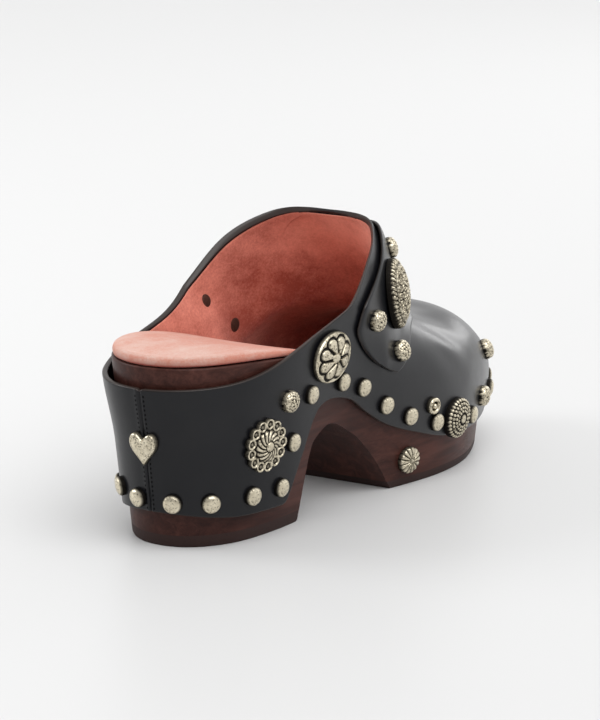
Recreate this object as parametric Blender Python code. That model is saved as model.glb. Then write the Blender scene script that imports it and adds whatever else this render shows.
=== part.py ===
"""Studded clog, right shoe, standing empty on its sole.

A wooden platform sole carries a hollow leather upper with an instep strap, a suede insole and
antique silver trim.  +X is the toe, -Y the outer side of the foot, +Z up.  Sizes are millimetres,
measured from the back of the wooden sole and from the floor, and become metres in the meshes.
"""

import math
from collections import namedtuple

import bmesh
import bpy
import numpy as np
from mathutils import Matrix
from mathutils import Vector

MM = 0.001
MERGE_DISTANCE = 0.000005

# Driving dimensions.
LENGTH = 245.0
BALL_WIDTH = 88.6
HEEL_HEIGHT = 75.5
INSTEP_HEIGHT = 117.4
SEAT_GAP = 0.3
TRIM_GAP = 0.6

# Rounding of the outline: radius of its ends seen from above, and of the toe box from the side.
HEEL_RADIUS = 33.6
TOE_RADIUS = 33.7
TOE_BOX_RADIUS = 28.0
TOE_BOX_FULLNESS = 2.5
TOE_TIP_FULLNESS = 2.0

# Lean of the wooden walls, sideways per unit of depth.
SIDE_LEAN = 0.083
BACK_LEAN = 0.116
TOE_LEAN = 0.144
BACK_LEAN_ENDS = 25.0
TOE_LEAN_STARTS = 190.0
TOE_LEAN_FULL = 240.0

# Bottom of the sole.
LIFT_THICKNESS = 5.0
TREAD_THICKNESS = 3.5
TOE_SPRING = 7.0
SPRING_STARTS = 185.0
EDGE_CHAMFER = 0.8

# Insole: a padded sheet with rolled edges, thinner and narrower towards the toe.
INSOLE_HEEL_THICKNESS = 4.2
INSOLE_TOE_THICKNESS = 2.4
INSOLE_HEEL_INSET = 0.5
INSOLE_TOE_INSET = 4.0
INSOLE_ROLL = 1.6
INSOLE_THINS_FROM = 12.0
INSOLE_THINS_TO = 76.0
INSOLE_NARROWS_FROM = 90.0
INSOLE_NARROWS_TO = 225.0

# Leather.
WALL = 2.4
INNER_FACE = SEAT_GAP
OUTER_FACE = INNER_FACE + WALL
WALL_ROWS = 11
FORM_BLEND = 11.0
INSTEP_LEAN = 1.0
SADDLE_END = 184.0
STRAP_SEAT = 0.85
STRAP_THICKNESS = 1.7
STRAP_COLUMNS = 8
STRAP_STEPS = 16

# Middle of the whole part's box, which becomes the origin.
BOX_MID_X = 122.8
BOX_MID_Y = -1.5

OUTER = -1
INNER = 1

# Sole outline and the edge where leather leaves wood, as shares of LENGTH, half of BALL_WIDTH,
# BALL_WIDTH and HEEL_HEIGHT.
SoleSection = namedtuple("SoleSection", "station half_width centre edge_height")
SOLE_SECTIONS = (
    SoleSection(0.000, 0.000, 0.010, 1.000),
    SoleSection(0.245, 0.793, 0.006, 0.947),
    SoleSection(0.408, 0.766, -0.010, 0.788),
    SoleSection(0.551, 0.912, -0.010, 0.596),
    SoleSection(0.673, 1.000, -0.008, 0.477),
    SoleSection(0.796, 0.934, 0.011, 0.424),
    SoleSection(0.898, 0.740, 0.032, 0.430),
    SoleSection(1.000, 0.000, 0.053, 0.470),
)

# Two forms that melt into one upper: a narrow tall instep and a wide low toe box.  Widths are
# shares of half of BALL_WIDTH, rises above the wood's edge are shares of INSTEP_HEIGHT.
UpperSection = namedtuple("UpperSection", "station instep_width instep_rise fullness toe_rise")
UPPER_SECTIONS = (
    UpperSection(0.245, 0.864, 0.937, 2.8, 0.068),
    UpperSection(0.351, 0.890, 0.809, 2.8, 0.085),
    UpperSection(0.457, 0.832, 0.716, 2.9, 0.119),
    UpperSection(0.518, 0.765, 0.636, 3.2, 0.170),
    UpperSection(0.559, 0.650, 0.592, 4.0, 0.210),
    UpperSection(0.612, 0.485, 0.498, 3.3, 0.254),
    UpperSection(0.661, 0.345, 0.390, 2.6, 0.264),
    UpperSection(0.714, 0.245, 0.250, 2.2, 0.254),
    UpperSection(0.776, 0.155, 0.115, 2.0, 0.256),
    UpperSection(0.837, 0.090, 0.060, 2.0, 0.252),
    UpperSection(0.918, 0.040, 0.015, 2.0, 0.164),
    UpperSection(1.000, 0.000, 0.000, 2.0, 0.000),
)

# Side views of the leather's two edges: shares of LENGTH, and of INSTEP_HEIGHT or HEEL_HEIGHT.
EdgePoint = namedtuple("EdgePoint", "station height")
COLLAR = (
    EdgePoint(0.000, 0.573),
    EdgePoint(0.082, 0.584),
    EdgePoint(0.225, 0.649),
    EdgePoint(0.351, 0.744),
    EdgePoint(0.457, 0.902),
    EdgePoint(0.518, 0.962),
    EdgePoint(0.560, 0.992),
)
LOWER_EDGE = (
    EdgePoint(0.000, 0.199),
    EdgePoint(0.060, 0.168),
    EdgePoint(0.110, 0.153),
    EdgePoint(0.212, 0.149),
    EdgePoint(0.226, 0.215),
    EdgePoint(0.242, 0.313),
    EdgePoint(0.265, 0.457),
    EdgePoint(0.279, 0.552),
    EdgePoint(0.301, 0.632),
    EdgePoint(0.333, 0.653),
    EdgePoint(0.392, 0.616),
    EdgePoint(0.442, 0.507),
    EdgePoint(0.494, 0.403),
    EdgePoint(0.571, 0.309),
    EdgePoint(0.653, 0.237),
    EdgePoint(0.759, 0.217),
    EdgePoint(1.000, 0.260),
)

# Underside of the wood between the heel breast and the forefoot: shares of LENGTH, HEEL_HEIGHT.
ARCH = (
    EdgePoint(0.269, 0.000),
    EdgePoint(0.303, 0.418),
    EdgePoint(0.312, 0.446),
    EdgePoint(0.351, 0.497),
    EdgePoint(0.417, 0.399),
    EdgePoint(0.473, 0.228),
    EdgePoint(0.523, 0.000),
)

# Strap on one side of the foot, from its tip up to the crown: share of the way up the section,
# and the rear and front edges as shares of LENGTH.
StrapRow = namedtuple("StrapRow", "climb rear front")
STRAP_ROWS = (
    StrapRow(0.055, 0.478, 0.504),
    StrapRow(0.075, 0.449, 0.512),
    StrapRow(0.105, 0.431, 0.522),
    StrapRow(0.170, 0.403, 0.541),
    StrapRow(0.230, 0.387, 0.555),
    StrapRow(0.318, 0.390, 0.576),
    StrapRow(0.417, 0.419, 0.604),
    StrapRow(0.506, 0.453, 0.637),
    StrapRow(0.600, 0.490, 0.662),
    StrapRow(0.700, 0.526, 0.676),
    StrapRow(0.850, 0.574, 0.694),
    StrapRow(1.000, 0.590, 0.702),
)

# Trim: outline sizes across, height of the dome, and how many scallops the rim has.
TrimKind = namedtuple("TrimKind", "long wide height scallops segments slot")
TRIM_KINDS = {
    "nail": TrimKind(8.0, 8.0, 2.4, 0, 10, "silver"),
    "nugget": TrimKind(9.2, 9.2, 3.6, 0, 10, "silver"),
    "ring": TrimKind(7.4, 7.4, 2.2, 0, 12, "silver"),
    "sunburst": TrimKind(22.5, 22.5, 4.2, 13, 39, "silver"),
    "flower": TrimKind(26.2, 21.6, 3.2, 0, 28, "silver"),
    "woven": TrimKind(18.0, 18.0, 4.4, 0, 24, "silver"),
    "fluted": TrimKind(11.5, 11.5, 3.2, 0, 14, "silver"),
    "oval": TrimKind(23.0, 30.0, 6.4, 0, 28, "silver"),
}
SCALLOP_DEPTH = 0.07
HEART_WIDTH = 12.4
HEART_HEIGHT = 13.2
HEART_THICKNESS = 2.6
HEART_SEGMENTS = 32

# Where each piece sits: the surface it is fixed to, side of the foot, distance from the back and
# height above the floor.
Seat = namedtuple("Seat", "name kind carrier side along height")
SEATS = (
    Seat("nail_heel_back", "nail", "upper", INNER, 0.7, 20.4),
    Seat("nail_heel_outer_1", "nail", "upper", OUTER, 2.1, 19.6),
    Seat("nail_heel_outer_2", "nail", "upper", OUTER, 12.7, 19.3),
    Seat("nail_heel_outer_3", "nail", "upper", OUTER, 30.9, 19.6),
    Seat("nail_heel_outer_4", "nail", "upper", OUTER, 47.8, 19.6),
    Seat("nail_breast_outer", "nail", "upper", OUTER, 54.1, 37.4),
    Seat("nail_arch_outer", "nail", "upper", OUTER, 65.5, 55.0),
    Seat("nail_side_outer_1", "nail", "upper", OUTER, 89.4, 55.4),
    Seat("nail_side_outer_2", "nail", "upper", OUTER, 104.1, 50.1),
    Seat("nail_side_outer_3", "nail", "upper", OUTER, 119.0, 39.6),
    Seat("nail_side_outer_4", "nail", "upper", OUTER, 133.9, 31.9),
    Seat("nail_side_outer_5", "nail", "upper", OUTER, 150.8, 26.0),
    Seat("nail_side_outer_6", "nail", "upper", OUTER, 181.1, 22.5),
    Seat("nugget_heel_outer", "nugget", "upper", OUTER, 49.9, 55.6),
    Seat("nugget_toe_outer", "nugget", "upper", OUTER, 195.6, 27.4),
    Seat("sunburst_heel_outer", "sunburst", "upper", OUTER, 36.2, 40.0),
    Seat("flower_arch_outer", "flower", "upper", OUTER, 78.4, 68.4),
    Seat("woven_ball_outer", "woven", "upper", OUTER, 165.2, 25.0),
    Seat("ring_ball_outer", "ring", "upper", OUTER, 147.5, 34.0),
    Seat("fluted_sole_outer", "fluted", "wood", OUTER, 137.2, 11.4),
    Seat("nugget_strap_outer_1", "nugget", "strap", OUTER, 106.6, 78.8),
    Seat("nugget_strap_outer_2", "nugget", "strap", OUTER, 127.2, 61.6),
    Seat("nugget_strap_outer_3", "nugget", "strap", OUTER, 139.0, 102.3),
    Seat("oval_strap_outer", "oval", "strap", OUTER, 128.0, 85.8),
    Seat("nugget_toe_top_1", "nugget", "upper", OUTER, 211.5, 44.0),
    Seat("nail_toe_outer_1", "nail", "upper", OUTER, 213.0, 26.5),
    Seat("nail_toe_outer_2", "nail", "upper", OUTER, 230.0, 27.0),
    Seat("nail_toe_tip", "nail", "upper", OUTER, 243.6, 28.0),
    Seat("nail_heel_inner_1", "nail", "upper", INNER, 7.4, 22.2),
    Seat("nail_heel_inner_2", "nail", "upper", INNER, 22.0, 19.0),
    Seat("nail_heel_inner_3", "nail", "upper", INNER, 36.0, 19.2),
    Seat("nail_heel_inner_4", "nail", "upper", INNER, 48.4, 19.5),
    Seat("nail_breast_inner", "nail", "upper", INNER, 54.9, 37.3),
    Seat("nail_arch_inner", "nail", "upper", INNER, 66.9, 54.5),
    Seat("nail_side_inner_1", "nail", "upper", INNER, 85.0, 56.5),
    Seat("nail_side_inner_2", "nail", "upper", INNER, 102.0, 50.3),
    Seat("nail_side_inner_3", "nail", "upper", INNER, 118.7, 39.4),
    Seat("nail_side_inner_4", "nail", "upper", INNER, 134.0, 31.6),
    Seat("nail_side_inner_5", "nail", "upper", INNER, 150.8, 26.0),
    Seat("nail_side_inner_6", "nail", "upper", INNER, 167.5, 23.0),
    Seat("nail_side_inner_7", "nail", "upper", INNER, 184.0, 22.5),
    Seat("nail_toe_inner_1", "nail", "upper", INNER, 200.5, 25.0),
    Seat("nail_toe_inner_2", "nail", "upper", INNER, 216.0, 26.5),
    Seat("nail_toe_inner_3", "nail", "upper", INNER, 231.0, 27.0),
    Seat("nugget_strap_inner_1", "nugget", "strap", INNER, 104.0, 79.0),
    Seat("nugget_strap_inner_2", "nugget", "strap", INNER, 124.0, 63.0),
)
HEART_SEAT = Seat("heart_back", "heart", "upper", OUTER, 0.0, 42.2)

# Colour, roughness and metallic share of each material.
Finish = namedtuple("Finish", "colour roughness metallic")
FINISHES = {
    "wood": Finish((0.060, 0.016, 0.012), 0.45, 0.0),
    "rubber": Finish((0.020, 0.012, 0.010), 0.75, 0.0),
    "suede": Finish((0.700, 0.270, 0.200), 0.95, 0.0),
    "leather": Finish((0.010, 0.010, 0.011), 0.38, 0.0),
    "silver": Finish((0.600, 0.570, 0.490), 0.35, 1.0),
}


def natural_curve(stations, values):
    """Smooth curve through the points, with no bend at its two ends."""
    x = np.asarray(stations, float)
    y = np.asarray(values, float)
    step = np.diff(x)
    count = len(x)
    system = np.zeros((count, count))
    load = np.zeros(count)
    system[0, 0] = 1.0
    system[-1, -1] = 1.0
    for i in range(1, count - 1):
        system[i, i - 1] = step[i - 1]
        system[i, i] = 2.0 * (step[i - 1] + step[i])
        system[i, i + 1] = step[i]
        load[i] = 6.0 * ((y[i + 1] - y[i]) / step[i] - (y[i] - y[i - 1]) / step[i - 1])
    bend = np.linalg.solve(system, load)

    def curve(at):
        at = np.clip(np.asarray(at, float), x[0], x[-1])
        i = np.clip(np.searchsorted(x, at) - 1, 0, count - 2)
        left = at - x[i]
        right = x[i + 1] - at
        cubic = (bend[i] * right ** 3 + bend[i + 1] * left ** 3) / (6.0 * step[i])
        start = (y[i] / step[i] - bend[i] * step[i] / 6.0) * right
        end = (y[i + 1] / step[i] - bend[i + 1] * step[i] / 6.0) * left
        return cubic + start + end

    return curve


def eased_curve(stations, values):
    """Curve through the points that never overshoots them."""
    x = np.asarray(stations, float)
    y = np.asarray(values, float)
    step = np.diff(x)
    rate = np.diff(y) / step
    slope = np.zeros(len(x))
    slope[0] = rate[0]
    slope[-1] = rate[-1]
    for i in range(1, len(x) - 1):
        if rate[i - 1] * rate[i] > 0.0:
            slope[i] = 2.0 * rate[i - 1] * rate[i] / (rate[i - 1] + rate[i])

    def curve(at):
        at = np.clip(np.asarray(at, float), x[0], x[-1])
        i = np.clip(np.searchsorted(x, at) - 1, 0, len(x) - 2)
        t = (at - x[i]) / step[i]
        start = (1.0 + 2.0 * t) * (1.0 - t) ** 2 * y[i] + t * (1.0 - t) ** 2 * step[i] * slope[i]
        end = t * t * (3.0 - 2.0 * t) * y[i + 1] + t * t * (t - 1.0) * step[i] * slope[i + 1]
        return start + end

    return curve


def ramp(at, start, end):
    """0 before start, 1 after end, straight between."""
    return np.clip((np.asarray(at, float) - start) / (end - start), 0.0, 1.0)


def eased_ramp(at, start, end):
    share = ramp(at, start, end)
    return share * share * (3.0 - 2.0 * share)


def turn_at(along):
    """Half-turn angle that goes with a distance along the sole: 0 at the heel, pi at the toe."""
    return np.arccos(np.clip(1.0 - 2.0 * np.asarray(along, float) / LENGTH, -1.0, 1.0))


def along_at(turn):
    return LENGTH / 2.0 * (1.0 - np.cos(turn))


def rounded_curve(stations, values, heel_radius, toe_radius):
    """Curve in the half-turn angle that closes roundly at the ends it reaches."""
    turns = turn_at(np.asarray(stations) * LENGTH)
    swell = np.empty(len(turns))
    inside = np.sin(turns) > 1e-6
    swell[inside] = np.asarray(values)[inside] / np.sin(turns[inside])
    if not inside[0]:
        swell[0] = math.sqrt(heel_radius * LENGTH / 2.0)
    swell[-1] = math.sqrt(toe_radius * LENGTH / 2.0)
    curve = natural_curve(turns, swell)
    return lambda turn: np.sin(turn) * curve(np.maximum(turn, turns[0]))


def column(table, name, scale):
    return [getattr(row, name) * scale for row in table]


SOLE_STATIONS = column(SOLE_SECTIONS, "station", 1.0)
UPPER_STATIONS = column(UPPER_SECTIONS, "station", 1.0)
half_width = rounded_curve(
    SOLE_STATIONS, column(SOLE_SECTIONS, "half_width", BALL_WIDTH / 2.0), HEEL_RADIUS, TOE_RADIUS
)
centre_line = natural_curve(
    column(SOLE_SECTIONS, "station", LENGTH), column(SOLE_SECTIONS, "centre", BALL_WIDTH)
)
edge_height = natural_curve(
    column(SOLE_SECTIONS, "station", LENGTH), column(SOLE_SECTIONS, "edge_height", HEEL_HEIGHT)
)
instep_width = eased_curve(
    column(UPPER_SECTIONS, "station", LENGTH),
    column(UPPER_SECTIONS, "instep_width", BALL_WIDTH / 2.0),
)
instep_rise = natural_curve(
    column(UPPER_SECTIONS, "station", LENGTH),
    column(UPPER_SECTIONS, "instep_rise", INSTEP_HEIGHT),
)
instep_fullness = eased_curve(
    column(UPPER_SECTIONS, "station", LENGTH), column(UPPER_SECTIONS, "fullness", 1.0)
)
toe_rise = rounded_curve(
    UPPER_STATIONS, column(UPPER_SECTIONS, "toe_rise", INSTEP_HEIGHT), 0.0, TOE_BOX_RADIUS
)
collar_height = eased_curve(
    column(COLLAR, "station", LENGTH), column(COLLAR, "height", INSTEP_HEIGHT)
)
lower_edge = eased_curve(
    column(LOWER_EDGE, "station", LENGTH), column(LOWER_EDGE, "height", HEEL_HEIGHT)
)
arch_height = eased_curve(column(ARCH, "station", LENGTH), column(ARCH, "height", HEEL_HEIGHT))

BREAST_FLOOR = ARCH[0].station * LENGTH
FOREFOOT_FLOOR = ARCH[-1].station * LENGTH
COLLAR_FRONT = COLLAR[-1].station * LENGTH


def arch_reaches(height, start, end):
    """Distance from the back where the arch passes a height between two places."""
    places = np.linspace(start, end, 400)
    heights = arch_height(places)
    order = np.argsort(heights)
    return float(np.interp(height, heights[order], places[order]))


ARCH_TOP = ARCH[3].station * LENGTH
WOOD_BREAST = arch_reaches(LIFT_THICKNESS + SEAT_GAP, BREAST_FLOOR, ARCH_TOP)
WOOD_FOREFOOT = arch_reaches(TREAD_THICKNESS + SEAT_GAP, ARCH_TOP, FOREFOOT_FLOOR)
LIFT_TOP_END = arch_reaches(LIFT_THICKNESS, BREAST_FLOOR, ARCH_TOP)
TREAD_TOP_START = arch_reaches(TREAD_THICKNESS, ARCH_TOP, FOREFOOT_FLOOR)

TURNS = np.linspace(0.0, math.pi, 1441)


def outline_table(side):
    """Outline of the wood's top edge on one side, with its outward normal."""
    x = along_at(TURNS)
    y = centre_line(x) + side * half_width(TURNS)
    run = np.gradient(x, TURNS)
    rise = np.gradient(y, TURNS)
    run[[0, -1]] = 0.0
    size = np.hypot(run, rise)
    return x, y, -side * rise / size, side * run / size


OUTLINE = {side: outline_table(side) for side in (OUTER, INNER)}


def outline_point(side, turn, push):
    """Point of the outline seen from above, moved out by push along its normal."""
    x, y, normal_x, normal_y = (np.interp(turn, TURNS, values) for values in OUTLINE[side])
    return x + normal_x * push, y + normal_y * push


def wall_lean(along):
    back = (BACK_LEAN - SIDE_LEAN) * (1.0 - ramp(along, 0.0, BACK_LEAN_ENDS))
    toe = (TOE_LEAN - SIDE_LEAN) * ramp(along, TOE_LEAN_STARTS, TOE_LEAN_FULL)
    return SIDE_LEAN + back + toe


def wood_side(side, turn, depth, push):
    """Point of the leaning wooden wall at a depth below its top edge."""
    along = along_at(turn)
    x, y = outline_point(side, turn, push - wall_lean(along) * depth)
    return np.stack([x, y, edge_height(along) - depth + 0.0 * x], axis=-1)


def superellipse(width, height, fullness, across, up):
    """Distance from the middle to a superellipse, in the direction (across, up)."""
    width = np.maximum(width, 1e-3)
    height = np.maximum(height, 1e-3)
    return ((across / width) ** fullness + (up / height) ** fullness) ** (-1.0 / fullness)


def vamp_point(side, turn, climb, push):
    """Point of the upper above the wood's edge: climb runs from 0 there to 1 on the crown."""
    along = along_at(turn)
    middle = centre_line(along)
    x, y = outline_point(side, turn, push)
    half = np.maximum(np.abs(y - middle), 1e-6)
    lean = INSTEP_LEAN * ramp(along, 60.0, 85.0) * (1.0 - ramp(along, 150.0, 190.0))
    angle = np.clip(climb, 0.0, 1.0) * math.pi / 2.0
    across = np.cos(angle)
    up = np.sin(angle)
    roof = np.clip(3.0 * np.sin(turn), 0.0, 1.0)
    lift = push * roof
    slimming = (TOE_TIP_FULLNESS - TOE_BOX_FULLNESS) * ramp(along, 200.0, 235.0)
    toe_fullness = TOE_BOX_FULLNESS + slimming
    toe_box = superellipse(half, toe_rise(turn) + lift, toe_fullness, across, up)
    width = instep_width(along) + lift
    flare = np.clip(2.0 * up, 0.0, 1.0) ** 2
    width = np.where(width > half, half + (width - half) * flare, width)
    instep = superellipse(width, instep_rise(along) + lift, instep_fullness(along), across, up)
    blend = FORM_BLEND * up * ramp(along, 90.0, 120.0) * (1.0 - ramp(along, 195.0, 235.0))
    reach = 0.5 * (toe_box + instep + np.sqrt((toe_box - instep) ** 2 + blend ** 2))
    out = np.where(np.sin(turn) < 1e-6, 1.0, np.clip(reach * across / half, 0.0, 1.0))
    end_push = -push * np.cos(turn) * (1.0 - roof)
    return np.stack(
        [
            along + (x - along) * out + end_push * (1.0 - out),
            middle + side * reach * across + lean * up,
            edge_height(along) + reach * up,
        ],
        axis=-1,
    )


def shell_point(side, turn, climb, push):
    """Point of the leather: climb -1 is its lower edge, 0 the wood's edge, 1 the crown."""
    turn, climb = np.broadcast_arrays(np.asarray(turn, float), np.asarray(climb, float))
    along = along_at(turn)
    depth = np.maximum(-climb, 0.0) * (edge_height(along) - lower_edge(along))
    skirt = wood_side(side, turn, depth, push)
    vamp = vamp_point(side, turn, climb, push)
    return np.where(climb[..., None] < 0.0, skirt, vamp)


CLIMBS = np.concatenate([np.linspace(-1.0, 0.0, 40, endpoint=False), np.linspace(0.0, 1.0, 160)])


def climb_at_height(side, turn, height, push):
    heights = np.maximum.accumulate(shell_point(side, turn, CLIMBS, push)[:, 2])
    return float(np.interp(height, heights, CLIMBS))


def collar_climb(side, along):
    if along >= COLLAR_FRONT - 1e-6:
        return 1.0
    return climb_at_height(side, turn_at(along), collar_height(along), OUTER_FACE)


def wall_climbs(side, along):
    """Steps from the leather's lower edge to its collar, or to the crown past the collar.

    One step always falls on the wood's top edge, where the leather bends.
    """
    turn = turn_at(min(along, TOE_LEAN_STARTS))
    if along >= COLLAR_FRONT - 1e-6:
        side = OUTER
    top = collar_climb(side, along)
    skirt = edge_height(along_at(turn)) - lower_edge(along_at(turn))
    if top <= 0.0:
        return np.linspace(-1.0, top, WALL_ROWS + 1)
    climbs = np.linspace(0.0, top, 120)
    steps = np.linalg.norm(np.diff(vamp_point(side, turn, climbs, OUTER_FACE), axis=0), axis=1)
    lengths = np.concatenate([[0.0], np.cumsum(steps)])
    below = int(round(WALL_ROWS * skirt / (skirt + lengths[-1])))
    if below == WALL_ROWS:
        below -= 1
    wanted = np.linspace(0.0, lengths[-1], WALL_ROWS - below + 1)
    skirt_climbs = np.linspace(-1.0, 0.0, below + 1)[:-1]
    return np.concatenate([skirt_climbs, np.interp(wanted, lengths, climbs)])


def shared_stations():
    """Distances from the back used by every long piece, so that their facets stay parallel."""
    heel = along_at(np.linspace(0.0, turn_at(50.0), 11))
    breast = np.linspace(50.0, WOOD_BREAST, 7)
    rise = np.linspace(WOOD_BREAST, ARCH_TOP, 7)
    arch = np.linspace(ARCH_TOP, WOOD_FOREFOOT, 8)
    closing = COLLAR_FRONT - (COLLAR_FRONT - WOOD_FOREFOOT) * np.linspace(1.0, 0.0, 6) ** 2
    saddle = np.linspace(COLLAR_FRONT, SADDLE_END, 12)
    toe = along_at(np.linspace(turn_at(SADDLE_END), math.pi, 12))
    places = np.concatenate([heel, breast, rise, arch, closing, saddle, toe])
    return np.unique(np.round(places, 4))


STATIONS = shared_stations()


def new_material(name, finish):
    material = bpy.data.materials.new(name)
    material.use_nodes = True
    shader = material.node_tree.nodes["Principled BSDF"]
    shader.inputs["Base Color"].default_value = (*finish.colour, 1.0)
    shader.inputs["Roughness"].default_value = finish.roughness
    shader.inputs["Metallic"].default_value = finish.metallic
    return material


def to_world(points):
    """Shoe millimetres to metres about the part's origin."""
    shift = np.array([BOX_MID_X, BOX_MID_Y, 0.0])
    return (np.asarray(points, float) - shift) * MM


def add_object(name, points, faces, finish, root, smooth_angle=35.0):
    """Closed mesh object from points in metres and faces, with doubled points merged."""
    mesh = bpy.data.meshes.new(name)
    shape = bmesh.new()
    corners = [shape.verts.new(point) for point in points]
    for face in faces:
        shape.faces.new([corners[i] for i in face])
    bmesh.ops.remove_doubles(shape, verts=shape.verts, dist=MERGE_DISTANCE)
    bmesh.ops.dissolve_degenerate(shape, edges=shape.edges, dist=MERGE_DISTANCE)
    bmesh.ops.triangulate(shape, faces=shape.faces)
    bmesh.ops.recalc_face_normals(shape, faces=shape.faces)
    if shape.calc_volume(signed=True) < 0.0:
        bmesh.ops.reverse_faces(shape, faces=shape.faces)
    shape.to_mesh(mesh)
    shape.free()
    mesh.shade_smooth()
    mesh.set_sharp_from_angle(angle=math.radians(smooth_angle))
    mesh.materials.append(new_material(name, FINISHES[finish]))
    piece = bpy.data.objects.new(name, mesh)
    bpy.context.scene.collection.objects.link(piece)
    piece.parent = root
    return piece


def flipped(face):
    """Same face seen from its other side, keeping its first corner."""
    return face[:1] + face[:0:-1]


def slab(name, levels, finish, root):
    """Solid between stacked outlines; a level holds the outer and inner sides' points."""
    points = []
    faces = []
    count = len(levels[0][0])
    for outer, inner in levels:
        points.extend(outer)
        points.extend(inner)

    def index(level, side, i):
        return (level * 2 + side) * count + i

    last = len(levels) - 1
    for i in range(count - 1):
        faces.append([index(0, 0, i), index(0, 1, i), index(0, 1, i + 1), index(0, 0, i + 1)])
        faces.append(
            [index(last, 0, i), index(last, 0, i + 1), index(last, 1, i + 1), index(last, 1, i)]
        )
        for level in range(last):
            for side in (0, 1):
                ring = [
                    index(level, side, i),
                    index(level, side, i + 1),
                    index(level + 1, side, i + 1),
                    index(level + 1, side, i),
                ]
                faces.append(ring if side == 0 else flipped(ring))
    for level in range(last):
        for i, flip in ((0, False), (count - 1, True)):
            end = [
                index(level, 0, i),
                index(level + 1, 0, i),
                index(level + 1, 1, i),
                index(level, 1, i),
            ]
            faces.append(flipped(end) if flip else end)
    return add_object(name, to_world(points), keep_proper(points, faces), finish, root)


def keep_proper(points, faces):
    """Drops the end faces that have no area, where both sides meet on one line."""
    points = np.asarray(points)
    kept = []
    for face in faces:
        corners = points[face]
        spread = np.cross(corners[2] - corners[0], corners[3] - corners[1])
        distinct = len(np.unique(np.round(corners, 4), axis=0))
        if distinct > 2 and np.linalg.norm(spread) > 1e-9:
            kept.append(face)
    return kept


def ground_height(along):
    """Lowest surface of heel lift, wood and tread."""
    along = np.asarray(along, float)
    spring = TOE_SPRING * ramp(along, SPRING_STARTS, LENGTH) ** 2
    in_arch = (along > BREAST_FLOOR) & (along < FOREFOOT_FLOOR)
    return np.where(in_arch, arch_height(along), spring)


def wood_bottom(along):
    along = np.asarray(along, float)
    under_heel = LIFT_THICKNESS + SEAT_GAP
    under_toe = ground_height(along) + TREAD_THICKNESS + SEAT_GAP
    bottom = np.where(along <= WOOD_BREAST, under_heel, ground_height(along))
    return np.where(along >= WOOD_FOREFOOT, under_toe, bottom)


def build_wood_sole(root):
    turns = turn_at(STATIONS)
    levels = []
    for push, drop in ((-EDGE_CHAMFER, 0.0), (0.0, EDGE_CHAMFER)):
        levels.append([wood_side(side, turns, drop, push) for side in (OUTER, INNER)])
    bottom = []
    for side in (OUTER, INNER):
        depth = edge_height(STATIONS) - wood_bottom(STATIONS)
        bottom.append(wood_side(side, turns, depth, 0.0))
    levels.append(bottom)
    return slab("wood_sole", levels, "wood", root)


def floor_piece(name, stations, heights, root):
    """Rubber under the wood: bottom and top faces follow two height functions of the station."""
    levels = []
    for places, height in zip(stations, heights):
        turns = turn_at(places)
        depth = edge_height(places) - height(places)
        levels.append([wood_side(side, turns, depth, 0.0) for side in (OUTER, INNER)])
    return slab(name, levels, "rubber", root)


def build_heel_lift(root):
    heel = STATIONS[STATIONS < 60.0]
    bottom = np.append(heel, BREAST_FLOOR)
    top = np.append(heel, LIFT_TOP_END)
    return floor_piece(
        "heel_lift",
        (top, bottom),
        (lambda x: np.full(len(x), LIFT_THICKNESS), lambda x: np.zeros(len(x))),
        root,
    )


def build_forefoot_tread(root):
    fore = STATIONS[STATIONS > COLLAR_FRONT - 4.0]
    bottom = np.insert(fore, 0, FOREFOOT_FLOOR)
    top = np.insert(fore, 0, TREAD_TOP_START)
    spring = lambda x: TOE_SPRING * ramp(x, SPRING_STARTS, LENGTH) ** 2
    return floor_piece(
        "forefoot_tread",
        (top, bottom),
        (lambda x: spring(x) + TREAD_THICKNESS, spring),
        root,
    )


def build_insole(root):
    turns = turn_at(STATIONS)
    thins = eased_ramp(STATIONS, INSOLE_THINS_FROM, INSOLE_THINS_TO)
    narrows = eased_ramp(STATIONS, INSOLE_NARROWS_FROM, INSOLE_NARROWS_TO)
    thickness = INSOLE_HEEL_THICKNESS + (INSOLE_TOE_THICKNESS - INSOLE_HEEL_THICKNESS) * thins
    inset = INSOLE_HEEL_INSET + (INSOLE_TOE_INSET - INSOLE_HEEL_INSET) * narrows
    levels = []
    for height_share, roll in ((1.0, 1.0), (0.72, 0.25), (0.3, 0.0), (0.0, 0.5)):
        sides = []
        for side in (OUTER, INNER):
            x, y = outline_point(side, turns, -inset - roll * INSOLE_ROLL)
            z = edge_height(STATIONS) + SEAT_GAP + height_share * thickness
            sides.append(np.stack([x, y, z], axis=-1))
        levels.append(sides)
    return slab("insole", levels, "suede", root)


def build_upper(root):
    """Hollow shell: two faces over the same grid, joined along the lower edge and the collar."""
    rows = WALL_ROWS + 1
    count = len(STATIONS)
    points = []
    for push in (OUTER_FACE, INNER_FACE):
        for side in (OUTER, INNER):
            for along in STATIONS:
                climbs = wall_climbs(side, along)
                points.extend(shell_point(side, turn_at(along), climbs, push))

    def index(face, side, station, row):
        return ((face * 2 + side) * count + station) * rows + row

    faces = []
    for i in range(count - 1):
        for side in (0, 1):
            for row in range(WALL_ROWS):
                for face in (0, 1):
                    quad = [
                        index(face, side, i, row),
                        index(face, side, i + 1, row),
                        index(face, side, i + 1, row + 1),
                        index(face, side, i, row + 1),
                    ]
                    faces.append(quad if (side + face) % 2 == 0 else flipped(quad))
            edges = [(0, side == 1)]
            if STATIONS[i] < COLLAR_FRONT - 1e-6:
                edges.append((WALL_ROWS, side == 0))
            for row, flip in edges:
                rim = [
                    index(0, side, i, row),
                    index(1, side, i, row),
                    index(1, side, i + 1, row),
                    index(0, side, i + 1, row),
                ]
                faces.append(flipped(rim) if flip else rim)
    return add_object(
        "upper", to_world(points), keep_proper(points, faces), "leather", root, 50.0
    )


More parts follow.
